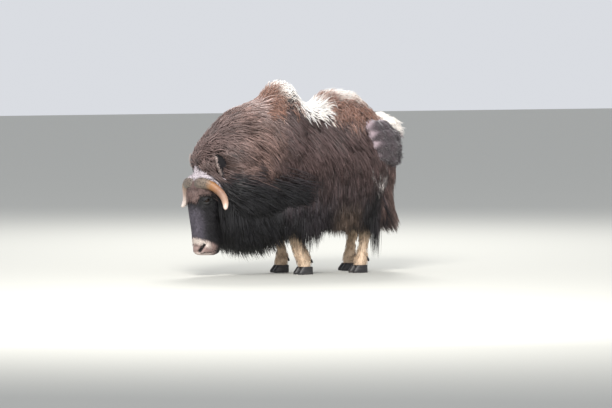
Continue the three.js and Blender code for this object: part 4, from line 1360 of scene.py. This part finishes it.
# %% [markdown]
# ## Locks
#
# Hair in a coat as long as this never falls singly. It gathers in locks that share a root and come
# together at the tip. So a few guides are walked first, then the tufts around each guide, and each tuft
# is drawn towards its guide the more, the nearer it comes to its tip. Small random differences in length,
# lean and colour keep the locks from looking combed.

# %% The lines of a lock
WAVY = (0, 0.14, 0.34, 0.58, 0.82, 1)
LONG = (0, 0.22, 0.5, 0.8, 1)
SHORT = (0, 0.4, 0.75, 1)
FUZZ = (0, 0.5, 1)
BODY = (TRUNK_FRONT, TRUNK_REAR)
BODY_ROUND, HEAD_ROUND, LEG_ROUND, TAIL_ROUND = 240.0, 90.0, 45.0, 30.0  # mm from the middle to the skin


def lock_lines(roots, each, spread, lengths, depths, lie, surface, limits, radius, hangs, rise, clump, wave):
    """Lines of all tufts, the way out along them, the lock that each belongs to, and its root."""
    u, v = roots
    locks = len(u)
    root, tip = depths
    guide_tip = tip + rng.uniform(-0.09, 0.09, locks)
    length = lengths * rng.uniform(0.86, 1.1, locks)
    guide, _ = walk(surface, u, v, root, guide_tip, length, lie, rise, limits, hangs)
    own = np.repeat(np.arange(locks), each)
    su = np.clip(u[own] + rng.normal(0, spread, len(own)), *limits)
    sv = v[own] + rng.normal(0, spread / radius, len(own))
    lean = rng.normal(0, 0.12, len(own))[:, None]

    def leaning(place, out):
        aim = lie(place, out)
        return unit(aim + np.cross(aim, out) * lean)

    own_tip = guide_tip[own] + rng.uniform(-0.08, 0.08, len(own))
    own_length = length[own] * rng.uniform(0.72, 1.04, len(own))
    line, outs = walk(surface, su, sv, root, own_tip, own_length, leaning, rise, limits, hangs)
    t = np.linspace(0, 1, line.shape[1])[None, :, None]
    gather = rng.uniform(0.6, 1.0, len(own))[:, None, None] * clump
    line = line + (guide[own] - line) * gather * t**1.4
    if wave:
        phase = (rng.random(locks)[own] * 6.28 + rng.normal(0, 0.5, len(own)))[:, None]
        sway = np.sin(phase + 9 * t[..., 0]) * wave * t[..., 0]
        across = unit(np.cross(np.gradient(line, axis=1), outs))
        line = line + across * sway[..., None]
    return line, outs, own, su, sv


print("stations of the longest tufts:", WAVY)


# %% A piece of coat
EAR_ROOM = 24  # mm that locks leave free under an ear


def unwrap_round(low, high):
    """A map for roots on a form: how far round it across the map, how far along it upwards."""

    def places(u, v):
        return np.stack([(v / (2 * np.pi)) % 1.0, (u - low) / (high - low)], -1)

    return places


unwrap_body = unwrap_round(*BODY)


def tuft_tones(tone, own, locks, vary, bleach, shade):
    """Colours of roots and tips: locks differ from each other, and the tufts within one a little."""
    tone = tone * (1 + rng.normal(0, vary, locks)[own])[:, None]
    tone = np.clip(tone * (1 + rng.normal(0, 0.12, len(own)))[:, None], 0.002, 1)
    paler = (bleach * rng.uniform(0.3, 1.3, len(own)))[:, None]
    # The roots are darkened by shade, as painted shade deep in the coat; the tips are paled by bleach.
    return tone * shade, np.clip(tone * (1 + paler * 1.6) + paler * 0.02, 0, 1)


def coat(
    name, roots, each, spread, lengths, depths, lie, colour, material=guard_hair, slot="coat",
    surface=trunk_point, limits=BODY, radius=BODY_ROUND, unwrap=unwrap_body, hangs=True, rise=0.6,
    width=6.5, stations=LONG, clump=0.7, wave=0.0, bleach=0.25, vary=0.16, shade=0.75, under_ears=False,
):
    """A coat piece: around every root grow a few tufts, drawn together towards their tips into one lock."""
    line, outs, own, su, sv = lock_lines(
        roots, each, spread, lengths, depths, lie, surface, limits, radius, hangs, rise, clump, wave
    )
    if under_ears:
        line = lay_under_ears(line, EAR_ROOM)
    tone = colour(surface(su, sv, 0.5))
    root_tone, tip_tone = tuft_tones(tone, own, len(roots[0]), vary, bleach, shade)
    wide = width * rng.uniform(0.7, 1.3, len(own))
    tufts(name, line, outs, wide, root_tone, tip_tone, unwrap(su, sv), stations, material, slot)


print("a root at the withers has its place in the map at:", unwrap_body(-200.0, 0.0).round(2))

# %% [markdown]
# ## The mane
#
# The guard hair of her neck is the palest of the long coat. It stands out tousled from a parting over the
# spine and is swept back to the shoulder. Its locks are set three times as close behind the ears, where
# the neck is narrow and bare skin would show, and they are laid under whatever part of an ear they would
# cross.

# %% The mane
def side_angle(v):
    """How far round from the spine, to either side."""
    return np.abs((v + np.pi) % (2 * np.pi) - np.pi)


def under(angle):
    """From this angle on her left, round under her, to the same on her right."""
    return angle, 2 * np.pi - angle


def clear_of_head(points, u, v):
    return 1.0 - inside_head(points, 12)


def mane_density(points, u, v):
    above_edge = clear_of_head(points, u, v) * smooth(-60, 0, over_dark_edge(points))
    return above_edge * lerp(3.0, 1.0, smooth(-700, -600, u))


roots = scatter(trunk_point, (-750, -430), (-2.4, 2.4), 640, mane_density)
lengths = lerp(90, 265, smooth(-750, -620, roots[0])) * lerp(0.85, 1, side_angle(roots[1]) > 0.5)
coat("mane", roots, 10, 17, lengths, (0.36, 1.0), body_lie, body_colour, slot="mane", width=7.0,
     stations=WAVY, bleach=0.5, vary=0.26, wave=7.0, clump=0.75, under_ears=True)

# %% [markdown]
# ## Ruff, beard and nape
#
# Below the mane the hair is nearly black. A ruff sweeps back over the shoulder, and the beard hangs from
# throat and chest to well below her knees. Both end at a height over the floor, not at one length,
# because their tips are what makes the outline. Short locks close the gap behind horn and ear.

# %% Shoulder ruff
BEARD_FOOT = curve(
    [[-760, 170], [-640, 163], [-560, 125], [-480, 106], [-420, 106], [-360, 155], [-280, 225]]
)  # along her, and the height over the floor where the beard ends


def falling(u, v, foot, most):
    """Lengths that end at a height over the floor, but no longer than hair grows."""
    return np.minimum((trunk_point(u, v, 0.5)[..., 2] - foot(u)[..., 0]) * 1.03, most)


def below_edge(points, u, v):
    return clear_of_head(points, u, v) * smooth(30, -20, over_dark_edge(points))


def neck_lie(place, out):
    """The hair of the lower neck sweeps back over the shoulder, steeper the lower it grows."""
    z = place[:, 2]
    steep = np.radians(lerp(14, 62, smooth(600, 300, z)) + 20 * smooth(-560, -680, place[:, 0]))
    return np.stack([np.cos(steep), 0 * z, -np.sin(steep)], -1)


roots = scatter(trunk_point, (-735, -230), under(1.1), 400, below_edge)
lengths = np.minimum(falling(*roots, BEARD_FOOT, 290) * 1.15, 290)
coat("shoulder_ruff", roots, 10, 17, lengths, (0.3, 0.95), neck_lie, body_colour, bleach=0.12, hangs=False,
     clump=0.6, under_ears=True)


# %% Beard and nape
def throat_colour(points):
    """Near black, with a pale fringe where the beard ends before the forelegs."""
    x, z = points[:, 0], points[:, 2]
    fringe = smooth(-430, -390, x) * smooth(-310, -350, x) * smooth(420, 360, z)
    return mix(body_colour(points), PALE_GREY_AND_PAINTED_LIGHT_AND_SHADE, 0.75 * fringe)


def ear_gap_density(points, u, v):
    """The band behind horn and ear, where the mane has only begun to rise from the skin."""
    return clear_of_head(points, u, v) * smooth(540, 580, points[:, 2]) * smooth(760, 700, points[:, 2])


roots = scatter(trunk_point, (-735, -290), under(1.9), 500, clear_of_head)
lengths = falling(*roots, BEARD_FOOT, 300) * rng.uniform(0.9, 1.12, 500)
coat("throat_hair", roots, 10, 16, lengths, (0.3, 0.75), throat_lie, throat_colour, width=7.0, bleach=0.15)

roots = scatter(trunk_point, (-700, -470), under(0.9), 240, ear_gap_density)
coat("nape_locks", roots, 8, 14, rng.uniform(90, 150, 240), (0.37, 0.78), neck_lie, body_colour, slot="mane",
     width=6.0, bleach=0.3, hangs=False, clump=0.6, rise=0.3, under_ears=True)

# %% [markdown]
# ## Flanks and skirt
#
# From the back the guard hair falls in long slants over the ribs, then straight down into a skirt that
# hides the upper legs. It could be one sheet of hair, but two layers look deeper: flanks that cover the
# widest line, and a skirt rooted under them. A few long locks hang lower and break the skirt's edge.

# %% Flanks
def flank_lie(place, out):
    """Back and down in long slants near the spine, straight down below the widest line."""
    slant = smooth(560, 900, place[:, 2]) * smooth(520, 380, place[:, 0])
    return unit(body_lie(place, out) + mix(np.zeros(3), np.array([0.75, 0.0, 0.0]), slant))


for name, sides, locks in (("left", (0.3, 2.0), 700), ("right", (2 * np.pi - 2.0, 2 * np.pi - 0.3), 400)):
    roots = scatter(trunk_point, (-460, 500), sides, locks)
    coat(f"flank_{name}", roots, 11, 18, np.full(locks, 300.0), (0.34, 0.84), flank_lie, body_colour,
         bleach=0.45, vary=0.26, clump=0.8)

# %% Skirt and long locks
SKIRT_FOOT = curve(
    [
        [-330, 215],
        [-215, 240],
        [-130, 240],
        [-95, 170],
        [-60, 205],
        [5, 228],
        [190, 265],
        [300, 275],
        [424, 240],
        [600, 255],
    ]
)  # along her, and the height over the floor where the skirt ends
# Place along her, height of the tip and number of the locks that hang below it.
LONG_LOCKS = [(-96, 158, 5), (-66, 172, 4), (-14, 214, 5), (424, 165, 4), (446, 172, 5)]

roots = scatter(trunk_point, (-330, 500), under(1.75), 640)
lengths = falling(*roots, SKIRT_FOOT, 330) * rng.uniform(0.85, 1.08, 640)
coat("skirt", roots, 10, 15, lengths, (0.3, 0.8), body_lie, body_colour, bleach=0.4, vary=0.26, clump=0.8)

u = np.concatenate([rng.normal(x, 9, count) for x, _, count in LONG_LOCKS])
foot = np.repeat([z for _, z, _ in LONG_LOCKS], [count for _, _, count in LONG_LOCKS])
v = rng.uniform(1.75, 2.0, len(u))
lengths = (trunk_point(u, v, 0.5)[:, 2] - foot) * 1.1
coat("long_locks", (u, v), 14, 9, lengths, (0.3, 0.55), body_lie, body_colour, width=5.5, bleach=0.15,
     vary=0.2, clump=0.75, shade=0.6)

# %% [markdown]
# ## Wool on the back, and the rump
#
# In early summer the underwool works its way out through the guard hair and lies over withers and loins
# in pale, crimped tufts. Felt alone would look like a blanket there, so short waving locks of the wool's
# own material are laid thick over the two mounds. The rump's hair is long again and flares over the
# thighs.

# %% Wool on the back
def wool_density(points, u, v):
    loins_reach = lerp(0.5, 0.75, smooth(80, 200, u) * smooth(520, 420, u))
    return smooth(loins_reach + 0.15, loins_reach - 0.1, side_angle(v)) * (1 + (points[:, 2] > 1100))


roots = scatter(trunk_point, (-460, 560), (-1.1, 1.1), 1020, wool_density)
coat("back_wool", roots, 6, 16, rng.uniform(80, 165, 1020), (0.45, 1.0), body_lie, wool_colour, under_wool,
     width=6.0, stations=WAVY, wave=8.0, clump=0.55, rise=0.7, vary=0.1, shade=0.9)

# %% Hair of the rump
roots = scatter(trunk_point, (470, 581), under(0.15), 460)
foot = lerp(600, 245, smooth(0.4, 1.5, side_angle(roots[1])))
lengths = np.minimum((trunk_point(*roots, 0.5)[:, 2] - foot) * 1.05, 340)
coat("rump_hair", roots, 10, 16, lengths, (0.3, 0.95), rump_lie, body_colour, bleach=0.45, vary=0.26,
     clump=0.8)

# %% [markdown]
# ## Felted wool
#
# Where the wool has come away but still hangs on, it felts into rounded clumps: a mat over each hip, a
# white tuft on the rump, and small scraps below the hip. One ball for each clump would show as a ball, so
# they are melted together like the skin, made a little lumpy, and covered with short fuzz.

# %% Where clumps lie
HIP_WOOL = [
    (416, 48, 0.68, 64),
    (474, 42, 0.72, 66),
    (526, 46, 0.74, 66),
    (430, 58, 0.72, 62),
    (488, 55, 0.76, 68),
    (532, 62, 0.72, 62),
    (446, 69, 0.72, 62),
    (500, 70, 0.76, 66),
    (540, 78, 0.62, 60),
    (462, 79, 0.72, 50),
    (506, 83, 0.72, 52),
]  # along her, degrees round from the spine, share of the coat's depth, radius
TAIL_WOOL = [(504, 14, 0.84, 66), (532, 20, 1.12, 66), (544, 22, 1.26, 60), (536, -20, 0.84, 60)]
far_hip = [(x - 8, -turn, share, size) for x, turn, share, size in HIP_WOOL[:7]]


def clump_rings(clumps, swell=1.02):
    """Rings of one flattened ball for each clump."""
    bands = np.linspace(0.1, np.pi - 0.1, 14)[:, None]
    turn = turns(24)[None, :]
    long, wide = 1.2 * np.sin(bands) * np.cos(turn), np.sin(bands) * np.sin(turn)
    offset = np.stack([long, wide, 0.85 * np.cos(bands) + 0 * turn], -1)
    x, degrees, share, sizes = np.array(clumps, float).T
    centres = trunk_point(x, np.radians(degrees), share)
    return [centre + swell * size * offset for centre, size in zip(centres, sizes)]


print("clumps of wool:", len(HIP_WOOL + far_hip + TAIL_WOOL))


# %% Felt and its fuzz
TRUNK_MIDDLE = 750  # mm over the floor
LINE_POINTS = 7
FUZZ_FALL = np.array([0.45, 0.0, -0.9])


def unwrap_box(mesh):
    """Six tiles of a map, one for each way that a face can look."""
    normals = read(mesh.polygons, "normal", 3)
    axis = np.abs(normals).argmax(1)
    tile = 2 * axis + (normals[np.arange(len(axis)), axis] > 0)
    points = read(mesh.vertices, "co", 3)
    points = (points - points.min(0)) / (points.max(0) - points.min(0))
    corners = read(mesh.loops, "vertex_index", 1, np.int32)[:, 0]
    face = np.repeat(np.arange(len(axis)), 4)
    flat = np.take_along_axis(points[corners], np.array([[1, 2], [0, 2], [0, 1]])[axis[face]], 1)
    corner = np.stack([tile[face] % 3, tile[face] // 3], -1)
    add_map(mesh, (0.02 + 0.96 * flat + corner) / (3, 2))


def felt(name, clumps, colour, tufts_each, fuzz):
    points, normals, faces = melted(clump_rings(clumps), 7, 36)
    bumps = np.sin(points @ np.array([0.11, 0.07, 0.09])) + np.sin(points @ np.array([-0.06, 0.12, 0.1]) + 2)
    points = points + normals * (1.6 * bumps)[:, None]
    mesh = new_mesh(f"{name}_felt", points, faces)
    set_attribute(mesh, "markings", colour(points, normals))
    unwrap_box(mesh)
    add_piece(f"{name}_felt", mesh, under_wool, "coat")
    count = tufts_each * len(clumps)
    pick = rng.integers(0, len(points), count)
    start, out = points[pick], normals[pick]
    flow = unit(FUZZ_FALL + rng.normal(0, 0.35, (count, 3)))
    reach = rng.uniform(0.6, 1.3, count)[:, None] * fuzz
    t = np.linspace(0, 1, LINE_POINTS)[None, :, None]
    rise = out[:, None] * reach[:, None] * (0.45 * np.sin(np.pi * 0.6 * t))
    line = start[:, None] - out[:, None] * 2 + flow[:, None] * reach[:, None] * t + rise
    tone = colour(start, out) * (1 + rng.normal(0, 0.1, count))[:, None]
    place = unwrap_body(np.clip(start[:, 0], *BODY), np.arctan2(-start[:, 1], start[:, 2] - TRUNK_MIDDLE))
    outs = np.repeat(out[:, None], LINE_POINTS, 1)
    widths = rng.uniform(2.5, 4.5, count)
    # The roots are painted a little darker, as shade among the tufts, and the tips paler.
    tips = np.clip(tone * 1.2, 0, 1)
    tufts(f"{name}_fuzz", line, outs, widths, tone * 0.9, tips, place, FUZZ, under_wool, "coat")


# %% Mats, tuft and scraps
def hip_colour_with_painted_light(points, normals):
    # Painted light: the felt is paler on the faces that look up and forward, towards the key light.
    pale = smooth(0.2, 0.8, -0.85 * normals[:, 0] + 0.5 * normals[:, 2])
    return mix(FELT_WOOL, PALE_GREY_AND_PAINTED_LIGHT_AND_SHADE, pale)


def rump_tuft_colour_with_painted_shade(points, normals):
    # Painted shade: the cream tuft turns grey on the faces that look down.
    return mix(CREAM_WOOL, PALE_GREY_AND_PAINTED_LIGHT_AND_SHADE, smooth(0, -0.8, normals[:, 2]))


def scrap_colour(points):
    patches = 0.5 + 0.5 * np.sin(0.09 * points[..., 2] + 0.2 * points[..., 0])
    return mix(FELT_WOOL, CREAM_WOOL, 0.42 * patches)


felt("hip_wool", HIP_WOOL + far_hip, hip_colour_with_painted_light, 250, 20)
felt("rump_tuft", TAIL_WOOL, rump_tuft_colour_with_painted_shade, 560, 34)
roots = (rng.normal(452, 16, 60), np.radians(rng.uniform(80, 112, 60)))
coat("wool_scraps", roots, 8, 8, rng.uniform(40, 85, 60), (0.7, 1.0), body_lie, scrap_colour, under_wool,
     width=5.0, stations=WAVY, bleach=0.3, wave=12.0, clump=0.8, vary=0.3)

# %% [markdown]
# ## Hair of the face
#
# The face is covered with short, dense hair that lies down the nose and back over the cheeks, and grows
# longer there. It would be simpler to leave it to a bump map, but its soft edge against the light is what
# tells fur from hide. It leaves out the lids, lips, nostrils and the bosses of the horns.

# %% Short hair of the face
on_head = {
    "surface": head_point,
    "hangs": False,
    "limits": HEAD_ENDS,
    "radius": HEAD_ROUND,
    "unwrap": unwrap_round(*HEAD_ENDS),
}


def face_lie(place, out):
    """Down the face, and back over the cheeks."""
    rear = smooth(60, -40, head_coordinates(place)[0])[:, None]
    return unit(-UP * lerp(1.0, 0.75, rear) - FORWARD * rear * 0.8)


def face_density(points, u, v):
    f, _, z = head_coordinates(points)
    eyes = sum(almond(points, side)[0] < 1.5 for side in (1, -1)) > 0
    lips = np.minimum(*(distance_to_line(points, mouth_line(side)) for side in (1, -1))) < 6
    noses = np.minimum(*(distance_to_line(points, nostril_line(side)) for side in (1, -1))) < 18
    horns = (z > 566) & (f > 20)
    return 1.0 - (eyes | lips | noses | horns)


roots = scatter(head_point, (150, 640), (0, 2 * np.pi), 2200, face_density)
f = head_coordinates(head_point(*roots, 0))[0]
lengths = lerp(24, 95, smooth(40, -70, f)) * lerp(1, 0.5, smooth(270, 200, roots[0]))
coat("face_hair", roots, 6, 8, lengths, (-2.5, 2.5), face_lie, face_colour, short_hair, "face", **on_head,
     width=2.6, stations=FUZZ, clump=0.3, bleach=0.2, shade=0.9, vary=0.1)

# %% [markdown]
# ## Brow, poll and crest
#
# A reddish fringe falls over the brow between the bosses, and it is longer on her right. Behind the horns
# stands a pale poll that runs back into the mane, with a crest that rises in front of the nape, and
# longer hair hides the foot of each horn. Each grows its own way, so each is a piece of its own.

# %% Brow
def brow_density(points, u, v):
    return 1.0 * (np.abs(head_coordinates(points)[1]) < 100)


def brow_lie(place, out):
    return unit(np.array([0.0, 0.0, -1.0]) + 0.25 * np.sign(head_coordinates(place)[1])[:, None] * LEFTWARD)


roots = scatter(head_point, (552, 582), (-1.35, 1.35), 190, brow_density)
aside = np.where(roots[1] > 0, smooth(0.1, 0.55, roots[1]), smooth(0.5, 0.9, -roots[1]))
lengths = rng.uniform(0.6, 1.15, 190) * lerp(96, 30, aside)
coat("brow_hair", roots, 7, 7, lengths, (-3, 10), brow_lie, face_colour, slot="mane", **on_head, width=3.6,
     stations=SHORT, clump=0.6, bleach=0.4)


# %% Poll and crest
def poll_density(points, u, v):
    f, _, z = head_coordinates(points)
    return 1.0 * ((z > 634) | (f < -5))


def poll_lie(place, out):
    """Back between the horns, and down behind them."""
    _, l, z = head_coordinates(place)
    down = smooth(640, 560, z)[:, None]
    return unit(-FORWARD * 0.9 - UP * (0.15 + down) + 0.4 * np.sign(l)[:, None] * LEFTWARD)


def poll_colour(points):
    return mix(NAPE_HAIR, POLL_HAIR, smooth(560, 630, points[..., 2]))


def crest_lie(place, out):
    """Up before the nape, from behind the bosses of the horns."""
    l = head_coordinates(place)[1]
    return unit(UP + 0.1 * FORWARD + 0.006 * l[:, None] * LEFTWARD)


roots = scatter(head_point, (520, 669), (0, 2 * np.pi), 300, poll_density)
coat("poll_hair", roots, 7, 11, rng.uniform(60, 125, 300), (-4, 26), poll_lie, poll_colour, slot="mane",
     **on_head, width=4.6, stations=SHORT, clump=0.6, bleach=0.3)

roots = scatter(head_point, (626, 666), (-1.6, 1.6), 210)
on_poll = {**on_head, "limits": (HEAD_ENDS[0], POLL_TOP)}
coat("crest_hair", roots, 8, 10, rng.uniform(55, 100, 210), (-4, 16), crest_lie, poll_colour, slot="mane",
     **on_poll, width=4.2, clump=0.55, bleach=0.35, wave=3.0)


# %% Hair beside the horns
def horn_side_density(points, u, v):
    f, l, _ = head_coordinates(points)
    return 1.0 * (np.abs(l) > 60) * (f < 50) * (f > -60)


def horn_side_lie(place, out):
    """Out, back and down, close behind the horns."""
    l = head_coordinates(place)[1]
    return unit(-0.55 * FORWARD - 0.75 * UP + 0.75 * np.sign(l)[:, None] * LEFTWARD)


roots = scatter(head_point, (585, 655), (0, 2 * np.pi), 150, horn_side_density)
coat("horn_side_hair", roots, 8, 10, rng.uniform(70, 125, 150), (-4, 46), horn_side_lie, poll_colour,
     slot="mane", **on_head, width=4.2, clump=0.6, bleach=0.35, rise=0.8)

# %% [markdown]
# ## Rims of the ears
#
# The ears are furred along their edges, pale in front and brown behind, and bare inside. Hair all over
# would close the cup, so tufts grow only from two lines of points, a quarter turn to either side of the
# ear's back.

# %% Rims of the ears
def ear_fringe(name, side, count=380):
    """Hair along both edges of an ear: a pale rim in front, brown hair behind."""
    rings = ear_rings(side)
    quarter = EAR_SIDES // 4
    front, rear = (3 * quarter, quarter) if side > 0 else (quarter, 3 * quarter)
    at = rng.integers(3, EAR_RINGS - 1, count)
    is_front = rng.random(count) < 0.5
    start = rings[at, np.where(is_front, front, rear)] + rng.normal(0, 2, (count, 3))
    outward = unit(start - rings[at].mean(1))
    sweep = 0.75 * UP - 0.25 * FORWARD + 0.5 * outward + 0.35 * side * LEFTWARD
    flow = unit(sweep + rng.normal(0, 0.22, (count, 3)))
    reach = rng.uniform(11, 24, count)[:, None, None]
    t = np.linspace(0, 1, LINE_POINTS)[None, :, None]
    line = start[:, None] + reach * t * (flow[:, None] - 0.35 * t * outward[:, None])
    pale = mix(MANE_TOP, CREAM_WOOL, 0.12)
    tone = np.where(is_front[:, None], pale, NAPE_HAIR) * (1 + rng.normal(0, 0.15, count))[:, None]
    over = 0.1 + 0.35 * at / (EAR_RINGS - 1) + 0.45 * (side > 0)
    place = np.stack([over, 0.3 + 0.4 * is_front + 0.1 * rng.random(count)], -1)
    outs = np.tile(side * LEFTWARD, (count, LINE_POINTS, 1))
    widths = rng.uniform(2.0, 3.4, count)
    # The roots are painted a little darker, as shade among the tufts, and the tips paler.
    tips = np.clip(tone * 1.2, 0, 1)
    tufts(f"ear_fringe_{name}", line, outs, widths, tone * 0.8, tips, place, SHORT, guard_hair, "mane")


for name, side in SIDES.items():
    ear_fringe(name, side)

# %% [markdown]
# ## Tail
#
# A muskox's tail is a short flap that nearly disappears in the hair of the rump. It is given the same
# long hair, grown on a loft of its own that reaches below the flesh, so that the last hairs hang straight
# instead of curling under the tip.

# %% Tail
TAIL = [
    [470, 652, 5, 4],
    [590, 652, 15, 9],
    [660, 650, 24, 14],
    [735, 640, 28, 15],
    [800, 616, 26, 15],
    [850, 582, 20, 12],
]  # height, along her, half width, half thickness
tail_table = curve(TAIL)
TAIL_WAY = unit(np.array([0.08, 0.0, -1.0]))


def tail_point(z, angle, out):
    z, angle, out = np.broadcast_arrays(np.asarray(z, float), angle, out)
    x, half, thick = np.moveaxis(tail_table(z), -1, 0)
    return np.stack([x + (thick + out) * np.cos(angle), (half + out) * np.sin(angle), z], -1)


def hanging(place, out):
    return np.tile(TAIL_WAY, (len(place), 1))


roots = scatter(tail_point, (610, 849), (-2.2, 2.2), 150)
coat("tail_hair", roots, 9, 8, rng.uniform(80, 150, 150), (-3, 10), hanging, body_colour, surface=tail_point,
     limits=(420, 850), radius=TAIL_ROUND, unwrap=unwrap_round(590, 850), width=5.0, clump=0.6, bleach=0.45,
     vary=0.28, hangs=False)

# %% [markdown]
# ## Hair of the legs
#
# Below the skirt the legs wear short, pale hair, brushed straight down and longer towards the skirt.
# Three stations to a tuft are enough for hair that hardly bends. All four legs share one function, and
# only the surface that the hair grows on differs.

# %% Hair of the legs
LEG_WAY = np.array([0.06, 0.0, -1.0])


def leg_surface(name):
    def surface(z, angle, out):
        return leg_point(name, z, angle, out)

    return surface


def leg_lie(place, out):
    return np.tile(LEG_WAY, (len(place), 1))


for name in LEGS:
    roots = scatter(leg_surface(name), (62, 440), (0, 2 * np.pi), 280)
    lengths = lerp(24, 60, smooth(150, 380, roots[0]))
    coat(f"leg_hair_{name}", roots, 5, 9, lengths, (-7, 2), leg_lie, leg_colour, short_hair, "leg",
         surface=leg_surface(name), limits=(48, 470), radius=LEG_ROUND, unwrap=unwrap_round(50, 470),
         hangs=False, width=3.2, stations=FUZZ, clump=0.3, bleach=0.12, shade=0.88)

# %% [markdown]
# ## Light and floor
#
# A pale studio floor and a soft light from high on the camera's left give the even light of a bright
# overcast day, in which every lock still throws a small shadow. A weaker one, low beside the camera, puts
# a glint in her eye, and one behind her draws the edge of her coat. A picture of a sky could light her
# too, but three lamps are easier to move one at a time.

# %% Floor and sky
FLOOR_REACH = 40  # metres to each side, so that its edge is the horizon
floor_corners = [(x * FLOOR_REACH, y * FLOOR_REACH, 0) for x, y in ((-1, -1), (1, -1), (1, 1), (-1, 1))]
floor = bpy.data.meshes.new("floor")
floor.from_pydata(floor_corners, [], [(0, 1, 2, 3)])
add_object("floor", floor)
floor_look, _, floor_shader = new_material("matt studio floor", 0.9, 1.5)
floor_shader.inputs["Base Color"].default_value = (*hex_colour("#b9b9b3"), 1)
floor.materials.append(floor_look)

world = bpy.data.worlds.new("sky")
bpy.context.scene.world = world
world.use_nodes = True
sky = world.node_tree.nodes["Background"].inputs
sky["Color"].default_value = (*hex_colour("#f6f9ff"), 1)
sky["Strength"].default_value = 0.76
print("width of the floor in metres:", 2 * FLOOR_REACH)


# %% Lights
def add_light(name, place, aim, size, power, colour):
    """A round lamp of this width in metres and power in watts, turned to the place it aims at."""
    data = bpy.data.lights.new(name, "AREA")
    data.shape = "DISK"
    data.size = size
    data.energy = power
    data.color = hex_colour(colour)
    thing = add_object(name, data)
    thing.location = place
    thing.rotation_euler = (Vector(aim) - Vector(place)).to_track_quat("-Z", "Y").to_euler()


add_light("key", (-3.4, -5.0, 5.0), (0, 0, 0.7), 2.6, 640, "#fffcf7")
add_light("catch", (-3.0, -5.4, 1.8), (-0.7, -0.2, 0.5), 1.6, 60, "#ffffff")
add_light("rim", (2.5, 4.5, 5.5), (0, 0, 0.9), 3.0, 420, "#fffdfa")
bpy.context.scene.view_settings.view_transform = "Standard"
print("lights:", [light.name for light in bpy.data.lights])
